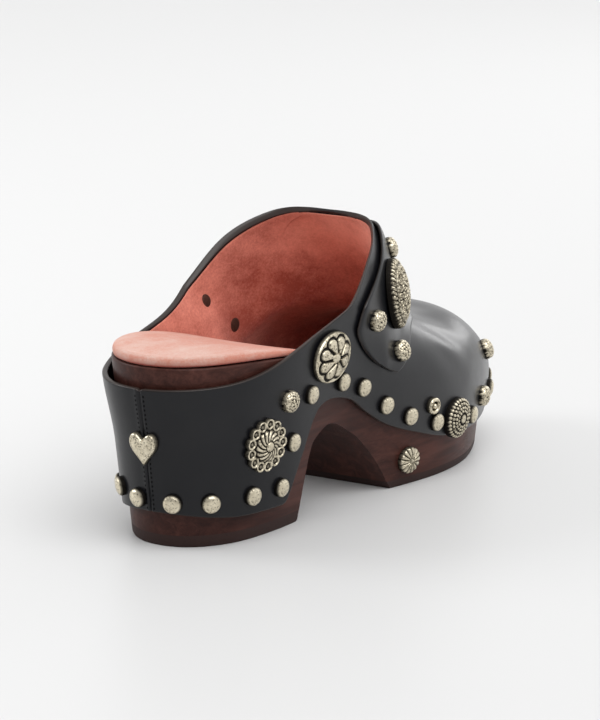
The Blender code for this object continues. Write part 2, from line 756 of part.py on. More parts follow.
def strap_curve(name):
    """Edge of the strap, mirrored past the crown so that the two sides meet without a corner."""
    climbs = column(STRAP_ROWS, "climb", 1.0)
    places = column(STRAP_ROWS, name, LENGTH)
    far_climbs = [2.0 - climb for climb in climbs[-2::-1]]
    return eased_curve(climbs + far_climbs, places + places[-2::-1])


def build_instep_strap(root):
    """Band between two forms of the upper's own function, from tip to tip over the instep."""
    rear = strap_curve("rear")
    front = strap_curve("front")
    low = STRAP_ROWS[0].climb
    climbs = low + (1.0 - low) * np.linspace(0.0, 1.0, STRAP_STEPS + 1)
    path = [(OUTER, climb) for climb in climbs] + [(INNER, climb) for climb in climbs[-2::-1]]
    shares = np.linspace(0.0, 1.0, STRAP_COLUMNS + 1)
    seat = OUTER_FACE + STRAP_SEAT
    points = []
    for push in (seat + STRAP_THICKNESS, seat):
        for side, climb in path:
            along = rear(climb) + (front(climb) - rear(climb)) * shares
            points.extend(vamp_point(side, turn_at(along), np.full(len(along), climb), push))
    width = STRAP_COLUMNS + 1
    count = len(path)

    def index(face, step, share):
        return (face * count + step) * width + share

    faces = []
    for step in range(count - 1):
        for share in range(STRAP_COLUMNS):
            for face in (0, 1):
                quad = [
                    index(face, step, share),
                    index(face, step, share + 1),
                    index(face, step + 1, share + 1),
                    index(face, step + 1, share),
                ]
                faces.append(quad if face == 0 else flipped(quad))
        for share, flip in ((0, False), (STRAP_COLUMNS, True)):
            rim = [
                index(0, step, share),
                index(0, step + 1, share),
                index(1, step + 1, share),
                index(1, step, share),
            ]
            faces.append(flipped(rim) if flip else rim)
    for share in range(STRAP_COLUMNS):
        for step, flip in ((0, True), (count - 1, False)):
            rim = [
                index(0, step, share),
                index(0, step, share + 1),
                index(1, step, share + 1),
                index(1, step, share),
            ]
            faces.append(rim if flip else flipped(rim))
    return add_object("instep_strap", to_world(points), faces, "leather", root, 50.0)


def carrier_surface(seat):
    """Outer face of what carries a trim piece, as a function of distance along and height."""
    push = OUTER_FACE
    if seat.carrier == "strap":
        push += STRAP_SEAT + STRAP_THICKNESS

    def wood(along, height):
        return wood_side(seat.side, turn_at(along), edge_height(along) - height, 0.0)

    def leather(along, height):
        turn = float(turn_at(along))
        return shell_point(seat.side, turn, climb_at_height(seat.side, turn, height, push), push)

    return wood if seat.carrier == "wood" else leather


def seat_frame(seat, long, wide):
    """Place on the carrying surface, with the outward normal as Z and Y up the surface."""
    surface = carrier_surface(seat)
    point = surface(seat.along, seat.height)
    reach = 0.4 * wide
    span_up = surface(seat.along, seat.height + reach) - surface(seat.along, seat.height - reach)
    behind = max(seat.along - 0.4 * long, 0.0)
    ahead = min(seat.along + 0.4 * long, LENGTH)
    if seat.along > 0.0:
        span_along = surface(ahead, seat.height) - surface(behind, seat.height)
    else:
        span_along = np.array([0.0, seat.side, 0.0])
    normal = np.cross(span_along, span_up) * -seat.side
    normal = normal / np.linalg.norm(normal)
    up = span_up / np.linalg.norm(span_up)
    right = np.cross(up, normal)
    right = right / np.linalg.norm(right)
    up = np.cross(normal, right)
    lift = 0.0
    for angle in np.linspace(0.0, 2.0 * math.pi, 16, endpoint=False):
        rim = right * long / 2.0 * math.cos(angle) + up * wide / 2.0 * math.sin(angle)
        for spot in (point + 0.7 * rim, point + rim):
            touched = surface(float(np.clip(spot[0], 0.0, LENGTH)), spot[2])
            lift = max(lift, float(np.dot(touched - point, normal)))
    place = to_world(point + normal * (TRIM_GAP + lift))
    turned = Matrix((Vector(right), Vector(up), Vector(normal))).transposed().to_4x4()
    return Matrix.Translation(Vector(place)) @ turned


def trim_rings(kind):
    """Radius share and height of each ring from the seat to the top of a trim piece."""
    rim = 0.22 * kind.height
    if kind is TRIM_KINDS["ring"]:
        return ((1.0, 0.0), (1.0, 0.6), (0.86, 1.0), (0.62, 0.95), (0.5, 0.35), (0.3, 0.75))
    return ((1.0, 0.0), (0.98, rim / kind.height), (0.62, 0.80))


def build_trim(seat, root):
    kind = TRIM_KINDS[seat.kind]
    rings = trim_rings(kind)
    points = [(0.0, 0.0, 0.0)]
    faces = []
    for share, height in rings:
        for i in range(kind.segments):
            angle = 2.0 * math.pi * i / kind.segments
            scallop = 1.0
            if kind.scallops and share > 0.9:
                scallop += SCALLOP_DEPTH * (math.cos(kind.scallops * angle) - 1.0) / 2.0
            points.append(
                (
                    kind.long / 2.0 * share * scallop * math.cos(angle) * MM,
                    kind.wide / 2.0 * share * scallop * math.sin(angle) * MM,
                    kind.height * height * MM,
                )
            )
    points.append((0.0, 0.0, kind.height * MM))
    top = len(points) - 1
    for i in range(kind.segments):
        j = (i + 1) % kind.segments
        faces.append([0, 1 + j, 1 + i])
        for ring in range(len(rings) - 1):
            a = 1 + ring * kind.segments
            b = a + kind.segments
            faces.append([a + i, a + j, b + j, b + i])
        last = 1 + (len(rings) - 1) * kind.segments
        faces.append([last + i, last + j, top])
    piece = add_object(seat.name, points, faces, kind.slot, root)
    piece.matrix_world = seat_frame(seat, kind.long, kind.wide)
    return piece


def heart_outline():
    """Heart seen from the front, point down, inside HEART_WIDTH by HEART_HEIGHT."""
    corners = []
    for i in range(HEART_SEGMENTS):
        t = 2.0 * math.pi * i / HEART_SEGMENTS
        across = 16.0 * math.sin(t) ** 3
        up = 13.0 * math.cos(t) - 5.0 * math.cos(2.0 * t) - 2.0 * math.cos(3.0 * t)
        up -= math.cos(4.0 * t)
        corners.append((across / 32.0 * HEART_WIDTH, (up + 2.5) / 29.0 * HEART_HEIGHT))
    return corners


def build_heart(root):
    outline = heart_outline()
    count = len(outline)
    points = [(0.0, 0.0, 0.0)]
    rings = ((1.0, 0.0), (1.0, 0.62), (0.86, 1.0))
    for share, height in rings:
        for across, up in outline:
            points.append((across * share * MM, up * share * MM, height * HEART_THICKNESS * MM))
    points.append((0.0, 0.0, HEART_THICKNESS * MM))
    top = len(points) - 1
    faces = []
    for i in range(count):
        j = (i + 1) % count
        faces.append([0, 1 + i, 1 + j])
        for ring in range(len(rings) - 1):
            a = 1 + ring * count
            faces.append([a + j, a + i, a + count + i, a + count + j])
        last = 1 + (len(rings) - 1) * count
        faces.append([last + j, last + i, top])
    piece = add_object(HEART_SEAT.name, points, faces, "silver", root)
    piece.matrix_world = seat_frame(HEART_SEAT, HEART_WIDTH, HEART_HEIGHT)
    return piece


def main():
    for piece in list(bpy.data.objects):
        bpy.data.objects.remove(piece, do_unlink=True)
    root = bpy.data.objects.new("clog", None)
    bpy.context.scene.collection.objects.link(root)
    build_wood_sole(root)
    build_heel_lift(root)
    build_forefoot_tread(root)
    build_insole(root)
    build_upper(root)
    build_instep_strap(root)
    for seat in SEATS:
        build_trim(seat, root)
    build_heart(root)


main()
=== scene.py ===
"""Looks of the studded clog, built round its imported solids.

Sizes are millimetres in the shoe's own frame: x from the back of the wooden sole to the toe, y to
the inner side of the foot, z up from the floor.  to_world() turns them into metres of the frame.
"""

import math
from collections import namedtuple

import bmesh
import bpy
import numpy as np
from mathutils import Matrix, Vector


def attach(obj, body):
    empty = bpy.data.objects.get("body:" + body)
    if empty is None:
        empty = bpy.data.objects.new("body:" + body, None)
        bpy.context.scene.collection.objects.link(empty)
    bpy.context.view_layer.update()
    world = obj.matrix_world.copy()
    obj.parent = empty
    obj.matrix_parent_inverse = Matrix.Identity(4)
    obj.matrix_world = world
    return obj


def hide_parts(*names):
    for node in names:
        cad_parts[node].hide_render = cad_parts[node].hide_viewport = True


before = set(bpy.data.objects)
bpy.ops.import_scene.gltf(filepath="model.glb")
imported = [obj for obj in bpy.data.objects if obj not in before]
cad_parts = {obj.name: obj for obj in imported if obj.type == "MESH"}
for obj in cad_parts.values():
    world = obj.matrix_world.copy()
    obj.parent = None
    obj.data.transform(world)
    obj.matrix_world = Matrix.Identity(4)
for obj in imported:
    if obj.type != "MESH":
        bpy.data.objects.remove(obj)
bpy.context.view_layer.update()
BODY = "root"

MM = 0.001
WELD_DISTANCE = 0.000002
SAME_PLACE = 0.01
TINY = 1e-6
HAIR = 1e-9

# Driving dimensions, as in the solids.
LENGTH = 245.0
BALL_WIDTH = 88.6
HEEL_HEIGHT = 75.5
INSTEP_HEIGHT = 117.4
SEAT_GAP = 0.3
HEEL_RADIUS = 33.6
TOE_RADIUS = 33.7
TOE_BOX_RADIUS = 28.0
TOE_BOX_FULLNESS = 2.5
TOE_TIP_FULLNESS = 2.0
SIDE_LEAN = 0.083
BACK_LEAN = 0.116
TOE_LEAN = 0.144
BACK_LEAN_ENDS = 25.0
TOE_LEAN_STARTS = 190.0
TOE_LEAN_FULL = 240.0
LIFT_THICKNESS = 5.0
TREAD_THICKNESS = 3.5
TOE_SPRING = 7.0
SPRING_STARTS = 185.0
FORM_BLEND = 11.0
INSTEP_LEAN = 1.0
BOX_MID_X = 122.8
BOX_MID_Y = -1.5
OUTER = -1
INNER = 1
SIDES = (OUTER, INNER)

# Stretches over which the upper's forms come and go, as distances from the back.
LEAN_COMES = (60.0, 85.0)
LEAN_GOES = (150.0, 190.0)
TIP_SLIMS = (200.0, 235.0)
FORMS_MEET = (90.0, 120.0)
FORMS_PART = (195.0, 235.0)

# How fast the push over the crown and the instep's full width come in.
ROOF_RISES = 3.0
WIDTH_RISES = 2.0

# Leather and suede layers, as distances from the form.
INNER_FACE = 0.3
LINING_BACK = 0.9
LEATHER_BACK = 1.15
OUTER_FACE = 2.7
STRAP_SEAT = 0.85
STRAP_THICKNESS = 1.7


def table(columns, *rows):
    """Rows with named columns."""
    kind = namedtuple("Row", columns)
    return [kind(*row) for row in rows]


SOLE_SECTIONS = table(
    "station half_width centre edge_height",
    (0.000, 0.000, 0.010, 1.000),
    (0.245, 0.793, 0.006, 0.947),
    (0.408, 0.766, -0.010, 0.788),
    (0.551, 0.912, -0.010, 0.596),
    (0.673, 1.000, -0.008, 0.477),
    (0.796, 0.934, 0.011, 0.424),
    (0.898, 0.740, 0.032, 0.430),
    (1.000, 0.000, 0.053, 0.470),
)
UPPER_SECTIONS = table(
    "station instep_width instep_rise fullness toe_rise",
    (0.245, 0.864, 0.937, 2.8, 0.068),
    (0.351, 0.890, 0.809, 2.8, 0.085),
    (0.457, 0.832, 0.716, 2.9, 0.119),
    (0.518, 0.765, 0.636, 3.2, 0.170),
    (0.559, 0.650, 0.592, 4.0, 0.210),
    (0.612, 0.485, 0.498, 3.3, 0.254),
    (0.661, 0.345, 0.390, 2.6, 0.264),
    (0.714, 0.245, 0.250, 2.2, 0.254),
    (0.776, 0.155, 0.115, 2.0, 0.256),
    (0.837, 0.090, 0.060, 2.0, 0.252),
    (0.918, 0.040, 0.015, 2.0, 0.164),
    (1.000, 0.000, 0.000, 2.0, 0.000),
)
EDGE_COLUMNS = "station height"
COLLAR = table(
    EDGE_COLUMNS,
    (0.000, 0.573), (0.082, 0.584), (0.225, 0.649), (0.351, 0.744),
    (0.457, 0.902), (0.518, 0.962), (0.560, 0.992),
)
LOWER_EDGE = table(
    EDGE_COLUMNS,
    (0.000, 0.199), (0.060, 0.168), (0.110, 0.153), (0.212, 0.149), (0.226, 0.215), (0.242, 0.313),
    (0.265, 0.457), (0.279, 0.552), (0.301, 0.632), (0.333, 0.653), (0.392, 0.616), (0.442, 0.507),
    (0.494, 0.403), (0.571, 0.309), (0.653, 0.237), (0.759, 0.217), (1.000, 0.260),
)
ARCH = table(
    EDGE_COLUMNS,
    (0.269, 0.000), (0.303, 0.418), (0.312, 0.446), (0.351, 0.497),
    (0.417, 0.399), (0.473, 0.228), (0.523, 0.000),
)
STRAP_ROWS = table(
    "climb rear front",
    (0.055, 0.478, 0.504), (0.075, 0.449, 0.512), (0.105, 0.431, 0.522), (0.170, 0.403, 0.541),
    (0.230, 0.387, 0.555), (0.318, 0.390, 0.576), (0.417, 0.419, 0.604), (0.506, 0.453, 0.637),
    (0.600, 0.490, 0.662), (0.700, 0.526, 0.676), (0.850, 0.574, 0.694), (1.000, 0.590, 0.702),
)


def natural_curve(stations, values):
    """Smooth curve through the points, with no bend at its two ends."""
    x = np.asarray(stations, float)
    y = np.asarray(values, float)
    step = np.diff(x)
    count = len(x)
    inside = np.arange(1, count - 1)
    system = np.eye(count)
    system[inside, inside - 1] = step[:-1]
    system[inside, inside] = 2.0 * (step[:-1] + step[1:])
    system[inside, inside + 1] = step[1:]
    load = np.zeros(count)
    load[inside] = 6.0 * np.diff(np.diff(y) / step)
    bend = np.linalg.solve(system, load)

    def curve(at):
        at = np.clip(np.asarray(at, float), x[0], x[-1])
        i = np.clip(np.searchsorted(x, at) - 1, 0, count - 2)
        left = at - x[i]
        right = x[i + 1] - at
        cubic = (bend[i] * right ** 3 + bend[i + 1] * left ** 3) / (6.0 * step[i])
        start = (y[i] / step[i] - bend[i] * step[i] / 6.0) * right
        end = (y[i + 1] / step[i] - bend[i + 1] * step[i] / 6.0) * left
        return cubic + start + end

    return curve


def eased_curve(stations, values):
    """Curve through the points that never overshoots them."""
    x = np.asarray(stations, float)
    y = np.asarray(values, float)
    step = np.diff(x)
    rate = np.diff(y) / step
    slope = np.zeros(len(x))
    slope[[0, -1]] = rate[[0, -1]]
    product = rate[:-1] * rate[1:]
    i = np.flatnonzero(product > 0.0)
    slope[i + 1] = 2.0 * product[i] / (rate[i] + rate[i + 1])

    def curve(at):
        at = np.clip(np.asarray(at, float), x[0], x[-1])
        i = np.clip(np.searchsorted(x, at) - 1, 0, len(x) - 2)
        t = (at - x[i]) / step[i]
        start = (1.0 + 2.0 * t) * (1.0 - t) ** 2 * y[i] + t * (1.0 - t) ** 2 * step[i] * slope[i]
        end = t * t * (3.0 - 2.0 * t) * y[i + 1] + t * t * (t - 1.0) * step[i] * slope[i + 1]
        return start + end

    return curve


def ramp(at, start, end):
    """0 before start, 1 after end, straight between."""
    return np.clip((np.asarray(at, float) - start) / (end - start), 0.0, 1.0)


def smooth_ramp(at, start, end):
    share = ramp(at, start, end)
    return share * share * (3.0 - 2.0 * share)


def turn_at(along):
    """Half-turn angle that goes with a distance along the sole: 0 at the heel, pi at the toe."""
    return np.arccos(np.clip(1.0 - 2.0 * np.asarray(along, float) / LENGTH, -1.0, 1.0))


def along_at(turn):
    return LENGTH / 2.0 * (1.0 - np.cos(turn))


def rounded_curve(stations, values, heel_radius, toe_radius):
    """Curve in the half-turn angle that closes roundly at the ends it reaches."""
    turns = turn_at(np.asarray(stations) * LENGTH)
    swell = np.empty(len(turns))
    inside = np.sin(turns) > TINY
    swell[inside] = np.asarray(values)[inside] / np.sin(turns[inside])
    if not inside[0]:
        swell[0] = math.sqrt(heel_radius * LENGTH / 2.0)
    swell[-1] = math.sqrt(toe_radius * LENGTH / 2.0)
    curve = natural_curve(turns, swell)
    return lambda turn: np.sin(turn) * curve(np.maximum(turn, turns[0]))


def column(rows, name, scale):
    return [getattr(row, name) * scale for row in rows]


def table_curve(kind, rows, name, scale):
    return kind(column(rows, "station", LENGTH), column(rows, name, scale))


half_width = rounded_curve(
    column(SOLE_SECTIONS, "station", 1.0),
    column(SOLE_SECTIONS, "half_width", BALL_WIDTH / 2.0),
    HEEL_RADIUS,
    TOE_RADIUS,
)
toe_rise = rounded_curve(
    column(UPPER_SECTIONS, "station", 1.0),
    column(UPPER_SECTIONS, "toe_rise", INSTEP_HEIGHT),
    0.0,
    TOE_BOX_RADIUS,
)
centre_line = table_curve(natural_curve, SOLE_SECTIONS, "centre", BALL_WIDTH)
edge_height = table_curve(natural_curve, SOLE_SECTIONS, "edge_height", HEEL_HEIGHT)
instep_width = table_curve(eased_curve, UPPER_SECTIONS, "instep_width", BALL_WIDTH / 2.0)
instep_rise = table_curve(natural_curve, UPPER_SECTIONS, "instep_rise", INSTEP_HEIGHT)
instep_fullness = table_curve(eased_curve, UPPER_SECTIONS, "fullness", 1.0)
collar_height = table_curve(eased_curve, COLLAR, "height", INSTEP_HEIGHT)
lower_edge = table_curve(eased_curve, LOWER_EDGE, "height", HEEL_HEIGHT)
arch_height = table_curve(eased_curve, ARCH, "height", HEEL_HEIGHT)

BREAST_FLOOR = ARCH[0].station * LENGTH
FOREFOOT_FLOOR = ARCH[-1].station * LENGTH
COLLAR_FRONT = COLLAR[-1].station * LENGTH
ARCH_TOP = ARCH[3].station * LENGTH


def arch_reaches(height, start, end):
    """Distance from the back where the arch passes a height between two places."""
    places = np.linspace(start, end, 400)
    heights = arch_height(places)
    order = np.argsort(heights)
    return float(np.interp(height, heights[order], places[order]))


WOOD_BREAST = arch_reaches(LIFT_THICKNESS + SEAT_GAP, BREAST_FLOOR, ARCH_TOP)
WOOD_FOREFOOT = arch_reaches(TREAD_THICKNESS + SEAT_GAP, ARCH_TOP, FOREFOOT_FLOOR)
LIFT_TOP_END = arch_reaches(LIFT_THICKNESS, BREAST_FLOOR, ARCH_TOP)
TREAD_TOP_START = arch_reaches(TREAD_THICKNESS, ARCH_TOP, FOREFOOT_FLOOR)
TURNS = np.linspace(0.0, math.pi, 1441)


def outline_table(side):
    """Outline of the wood's top edge on one side, with its outward normal."""
    x = along_at(TURNS)
    y = centre_line(x) + side * half_width(TURNS)
    run = np.gradient(x, TURNS)
    rise = np.gradient(y, TURNS)
    run[[0, -1]] = 0.0
    size = np.hypot(run, rise)
    return x, y, -side * rise / size, side * run / size


OUTLINE = {side: outline_table(side) for side in SIDES}


def outline_point(side, turn, push):
    """Point of the outline seen from above, moved out by push along its normal."""
    x, y, normal_x, normal_y = (np.interp(turn, TURNS, values) for values in OUTLINE[side])
    return x + normal_x * push, y + normal_y * push


def wall_lean(along):
    back = (BACK_LEAN - SIDE_LEAN) * (1.0 - ramp(along, 0.0, BACK_LEAN_ENDS))
    toe = (TOE_LEAN - SIDE_LEAN) * ramp(along, TOE_LEAN_STARTS, TOE_LEAN_FULL)
    return SIDE_LEAN + back + toe


def wood_side(side, turn, depth, push):
    """Point of the leaning wooden wall at a depth below its top edge."""
    along = along_at(turn)
    x, y = outline_point(side, turn, push - wall_lean(along) * depth)
    return np.stack([x, y, edge_height(along) - depth + 0.0 * x], axis=-1)


SLIMMEST = 1e-3


def superellipse(width, height, fullness, across, up):
    """Distance from the middle to a superellipse, in the direction (across, up)."""
    width = np.maximum(width, SLIMMEST)
    height = np.maximum(height, SLIMMEST)
    return ((across / width) ** fullness + (up / height) ** fullness) ** (-1.0 / fullness)


def vamp_point(side, turn, climb, push):
    """Point of the upper above the wood's edge: climb runs from 0 there to 1 on the crown."""
    along = along_at(turn)
    middle = centre_line(along)
    x, y = outline_point(side, turn, push)
    half = np.maximum(np.abs(y - middle), TINY)
    lean = INSTEP_LEAN * ramp(along, *LEAN_COMES) * (1.0 - ramp(along, *LEAN_GOES))
    angle = np.clip(climb, 0.0, 1.0) * math.pi / 2.0
    across = np.cos(angle)
    up = np.sin(angle)
    roof = np.clip(ROOF_RISES * np.sin(turn), 0.0, 1.0)
    lift = push * roof
    slimming = (TOE_TIP_FULLNESS - TOE_BOX_FULLNESS) * ramp(along, *TIP_SLIMS)
    toe_box = superellipse(half, toe_rise(turn) + lift, TOE_BOX_FULLNESS + slimming, across, up)
    width = instep_width(along) + lift
    flare = np.clip(WIDTH_RISES * up, 0.0, 1.0) ** 2
    width = np.where(width > half, half + (width - half) * flare, width)
    instep = superellipse(width, instep_rise(along) + lift, instep_fullness(along), across, up)
    blend = FORM_BLEND * up * ramp(along, *FORMS_MEET) * (1.0 - ramp(along, *FORMS_PART))
    reach = 0.5 * (toe_box + instep + np.sqrt((toe_box - instep) ** 2 + blend ** 2))
    out = np.where(np.sin(turn) < TINY, 1.0, np.clip(reach * across / half, 0.0, 1.0))
    end_push = -push * np.cos(turn) * (1.0 - roof)
    return np.stack(
        [
            along + (x - along) * out + end_push * (1.0 - out),
            middle + side * reach * across + lean * up,
            edge_height(along) + reach * up,
        ],
        axis=-1,
    )


def shell_point(side, turn, climb, push):
    """Point of the leather: climb -1 is its lower edge, 0 the wood's edge, 1 the crown."""
    turn, climb = np.broadcast_arrays(np.asarray(turn, float), np.asarray(climb, float))
    along = along_at(turn)
    depth = np.maximum(-climb, 0.0) * (edge_height(along) - lower_edge(along))
    skirt = wood_side(side, turn, depth, push)
    vamp = vamp_point(side, turn, climb, push)
    return np.where(climb[..., None] < 0.0, skirt, vamp)


CLIMBS = np.concatenate([np.linspace(-1.0, 0.0, 60, endpoint=False), np.linspace(0.0, 1.0, 240)])


def climb_at_height(side, turn, height, push):
    heights = np.maximum.accumulate(shell_point(side, turn, CLIMBS, push)[:, 2])
    return float(np.interp(height, heights, CLIMBS))


def to_world(points):
    """Shoe millimetres to metres of the frame."""
    return (np.asarray(points, float) - np.array([BOX_MID_X, BOX_MID_Y, 0.0])) * MM


# Materials.


def set_sockets(tree, made, settings):
    """Sets constants on a node's own sockets, or links other nodes' outputs to them."""
    for name, value in settings.items():
        socket = made.inputs[name.replace("_", " ") if isinstance(name, str) else name]
        if isinstance(value, bpy.types.NodeSocket):
            tree.links.new(value, socket)
        else:
            socket.default_value = value


def node(tree, kind, **settings):
    """Shader node with its properties (lower case) and its sockets (capitalised) set."""
    made = tree.nodes.new("ShaderNode" + kind)
    for name, value in settings.items():
        if name[0].islower():
            setattr(made, name, value)
    set_sockets(tree, made, {name: value for name, value in settings.items() if name[0].isupper()})
    return made


def dress(material, **settings):
    """Sets constants or links on a material's shader."""
    tree = material.node_tree
    set_sockets(tree, tree.nodes["Principled BSDF"], settings)


def new_material(name, **constants):
    material = bpy.data.materials.new(name)
    material.use_nodes = True
    dress(material, **constants)
    return material, material.node_tree


def millimetres(tree, stretch=(1.0, 1.0, 1.0)):
    """Place on the object in millimetres, stretched along the axes."""
    place = node(tree, "TexCoord").outputs["Object"]
    factors = tuple(share / MM for share in stretch)
    return node(tree, "Mapping", vector_type="POINT", Vector=place, Scale=factors).outputs["Vector"]


def noise(tree, place, size, detail=2.0, roughness=0.5, distortion=0.0):
    """Noise whose blotches are about size millimetres across."""
    fine = {"Detail": detail, "Roughness": roughness, "Distortion": distortion}
    return node(tree, "TexNoise", Vector=place, Scale=1.0 / size, **fine).outputs["Fac"]


def shades(tree, value, *stops):
    """Colours laid over a value: each stop is a place and a colour."""
    made = node(tree, "ValToRGB", Fac=value)
    ends = made.color_ramp.elements
    while len(ends) < len(stops):
        ends.new(0.5)
    for end, (place, colour) in zip(ends, stops):
        end.position = place
        end.color = (*colour, 1.0)
    return made.outputs["Color"]


def levels(tree, value, low, high, floor=0.0, ceiling=1.0):
    """Stretches a value from low..high to floor..ceiling."""
    spans = {"From_Min": low, "From_Max": high, "To_Min": floor, "To_Max": ceiling}
    return node(tree, "MapRange", Value=value, **spans).outputs["Result"]


def arithmetic(tree, operation, first, second):
    made = node(tree, "Math", operation=operation)
    set_sockets(tree, made, {0: first, 1: second})
    return made.outputs["Value"]


def topped(tree, base, share, extra):
    """A value with a share of another added."""
    return arithmetic(tree, "ADD", base, arithmetic(tree, "MULTIPLY", extra, share))


def mixed(tree, share, first, second):
    """A colour or a socket mixed with a second one."""
    ends = [end if isinstance(end, bpy.types.NodeSocket) else (*end, 1.0) for end in (first, second)]
    return node(tree, "MixRGB", Fac=share, Color1=ends[0], Color2=ends[1]).outputs["Color"]


def bump(tree, height, depth, strength, **before):
    """Normal from a height of depth millimetres; before may give a Normal to start from."""
    made = node(tree, "Bump", Strength=strength, Distance=depth * MM, Height=height, **before)
    return made.outputs["Normal"]


def attribute(tree, name):
    return node(tree, "Attribute", attribute_name=name).outputs["Fac"]


CUT_LEATHER = (0.030, 0.022, 0.019)
CUT_SUEDE = (0.26, 0.035, 0.022)
SUEDE_SHEEN = (1.0, 0.72, 0.64, 1.0)


def leather_material():
    material, tree = new_material("black_leather", Coat_Weight=0.42, Coat_Roughness=0.24)
    place = millimetres(tree)
    forward = node(tree, "SeparateXYZ", Vector=place).outputs["X"]
    clouds = noise(tree, place, 26.0, 3.0)
    pores = noise(tree, place, 0.45, 3.0, 0.6)
    pull = noise(tree, place, 9.0, 2.0)
    edge = attribute(tree, "edge")
    colour = shades(tree, clouds, (0.3, (0.0050, 0.0053, 0.0070)), (0.75, (0.0088, 0.0089, 0.0104)))
    dress(
        material,
        Base_Color=mixed(tree, edge, colour, CUT_LEATHER),
        Roughness=topped(tree, levels(tree, clouds, 0.3, 0.7, 0.34, 0.44), 0.12, edge),
        Specular_IOR_Level=levels(tree, forward, -70.0, 30.0, 0.06, 0.34),
        Normal=bump(tree, pores, 0.06, 0.35, Normal=bump(tree, pull, 0.35, 0.25)),
    )
    return material


def suede_material(name, pale, deep, nap):
    material, tree = new_material(name, Roughness=0.95, Specular_IOR_Level=0.15)
    dress(material, Sheen_Weight=0.45, Sheen_Roughness=0.45, Sheen_Tint=SUEDE_SHEEN)
    brushed = noise(tree, millimetres(tree, (0.6, 1.0, 1.0)), 9.0, 5.0, 0.65, 0.15)
    fibres = noise(tree, millimetres(tree), 1.1, 4.0, 0.75)
    patches = topped(tree, brushed, 0.8, fibres)
    # The brightness takes in each piece's mark of painted light and painted shade.
    brightness = arithmetic(tree, "ADD", levels(tree, patches, 0.60, 1.20), attribute(tree, "painted_light_and_shade"))
    brightest = tuple(min(2.0 * part - dark, 1.0) for part, dark in zip(pale, deep))
    halved = arithmetic(tree, "MULTIPLY", brightness, 0.5)
    colour = shades(tree, halved, (0.0, deep), (0.5, pale), (1.0, brightest))
    dress(
        material,
        Base_Color=mixed(tree, attribute(tree, "edge"), colour, CUT_SUEDE),
        Normal=bump(tree, fibres, 0.12, nap),
    )
    return material


def wood_material():
    material, tree = new_material("stained_wood", Specular_IOR_Level=0.17)
    rings = noise(tree, millimetres(tree, (0.045, 1.0, 1.0)), 4.2, 4.0, 0.6, 0.8)
    pores = noise(tree, millimetres(tree, (0.03, 1.0, 1.0)), 0.55, 3.0, 0.6)
    clouds = noise(tree, millimetres(tree, (0.4, 1.0, 1.0)), 30.0, 2.0)
    figure = topped(tree, topped(tree, rings, 0.6, clouds), 0.35, pores)
    colour = shades(
        tree,
        levels(tree, figure, 0.68, 1.25),
        (0.0, (0.023, 0.0068, 0.0052)),
        (0.45, (0.043, 0.0140, 0.0102)),
        (1.0, (0.082, 0.029, 0.0215)),
    )
    rough = levels(tree, pores, 0.3, 0.7, 0.34, 0.5)
    dress(material, Base_Color=colour, Roughness=rough, Normal=bump(tree, pores, 0.08, 0.3))
    return material


def rubber_material():
    material, tree = new_material("brown_rubber", Specular_IOR_Level=0.28)
    speckle = noise(tree, millimetres(tree), 0.7, 3.0)
    colour = shades(tree, speckle, (0.3, (0.022, 0.0085, 0.0070)), (0.8, (0.036, 0.0155, 0.0125)))
    rough = levels(tree, speckle, 0.3, 0.7, 0.55, 0.7)
    dress(material, Base_Color=colour, Roughness=rough, Normal=bump(tree, speckle, 0.1, 0.3))
    return material


def silver_material(name, speck_size, speck_share, pitting):
    """Antique silver: pale where it stands proud, dark in its recesses and its pits, and dark at a
    plate's rim, partly patina and partly painted shade.
    """
    material, tree = new_material(name, Metallic=0.9)
    place = millimetres(tree)
    specks = noise(tree, place, speck_size, 4.0, 0.65)
    cast = noise(tree, place, 2.6, 2.0)
    bright = shades(tree, cast, (0.3, (0.60, 0.535, 0.40)), (0.7, (0.78, 0.71, 0.55)))
    wear_and_painted_shade = levels(tree, specks, speck_share, speck_share + 0.10)
    pitted = mixed(tree, wear_and_painted_shade, (0.13, 0.11, 0.078), bright)
    raised = attribute(tree, "patina_and_rim_shade")
    dress(
        material,
        Base_Color=mixed(tree, raised, (0.012, 0.010, 0.008), pitted),
        Roughness=levels(tree, raised, 0.0, 1.0, 0.62, 0.3),
        Normal=bump(tree, specks, 0.12, pitting),
    )
    return material


def plain_material(name, colour, roughness, grain, metallic, gloss):
    """Small parts: one colour broken up by fine grain."""
    material, tree = new_material(name, Roughness=roughness)
    dress(material, Metallic=metallic, Specular_IOR_Level=gloss)
    spots = noise(tree, millimetres(tree), grain, 3.0)
    dark = tuple(0.6 * part for part in colour)
    spotted = shades(tree, spots, (0.3, dark), (0.7, colour))
    dress(material, Base_Color=spotted, Normal=bump(tree, spots, 0.05, 0.3))
    return material


LEATHER = leather_material()
INSOLE_SUEDE = suede_material("insole_suede", (0.57, 0.42, 0.365), (0.50, 0.20, 0.145), 0.8)
LINING_SUEDE = suede_material("lining_suede", (0.70, 0.245, 0.18), (0.33, 0.070, 0.045), 0.6)
WOOD = wood_material()
RUBBER = rubber_material()
SILVER = silver_material("antique_silver", 0.8, 0.355, 0.22)
HAMMERED_SILVER = silver_material("hammered_silver", 0.7, 0.37, 0.4)
CHASED_SILVER = silver_material("chased_silver", 1.0, 0.37, 0.35)
AGED_SILVER = silver_material("aged_silver", 0.9, 0.44, 0.45)
THREAD = plain_material("black_thread", (0.003, 0.003, 0.003), 0.9, 0.3, 0.0, 0.03)
RIVET = plain_material("brown_rivet", (0.085, 0.040, 0.030), 0.5, 0.9, 0.3, 0.3)


# Meshes.


def add_piece(name, points, faces, material, slot, **finish):
    """Mesh object from points in millimetres of the shoe, riding on the part's one body."""
    mesh = bpy.data.meshes.new(name)
    mesh.from_pydata(to_world(points).tolist(), [], faces)
    return finish_piece(name, mesh, material, slot, **finish)


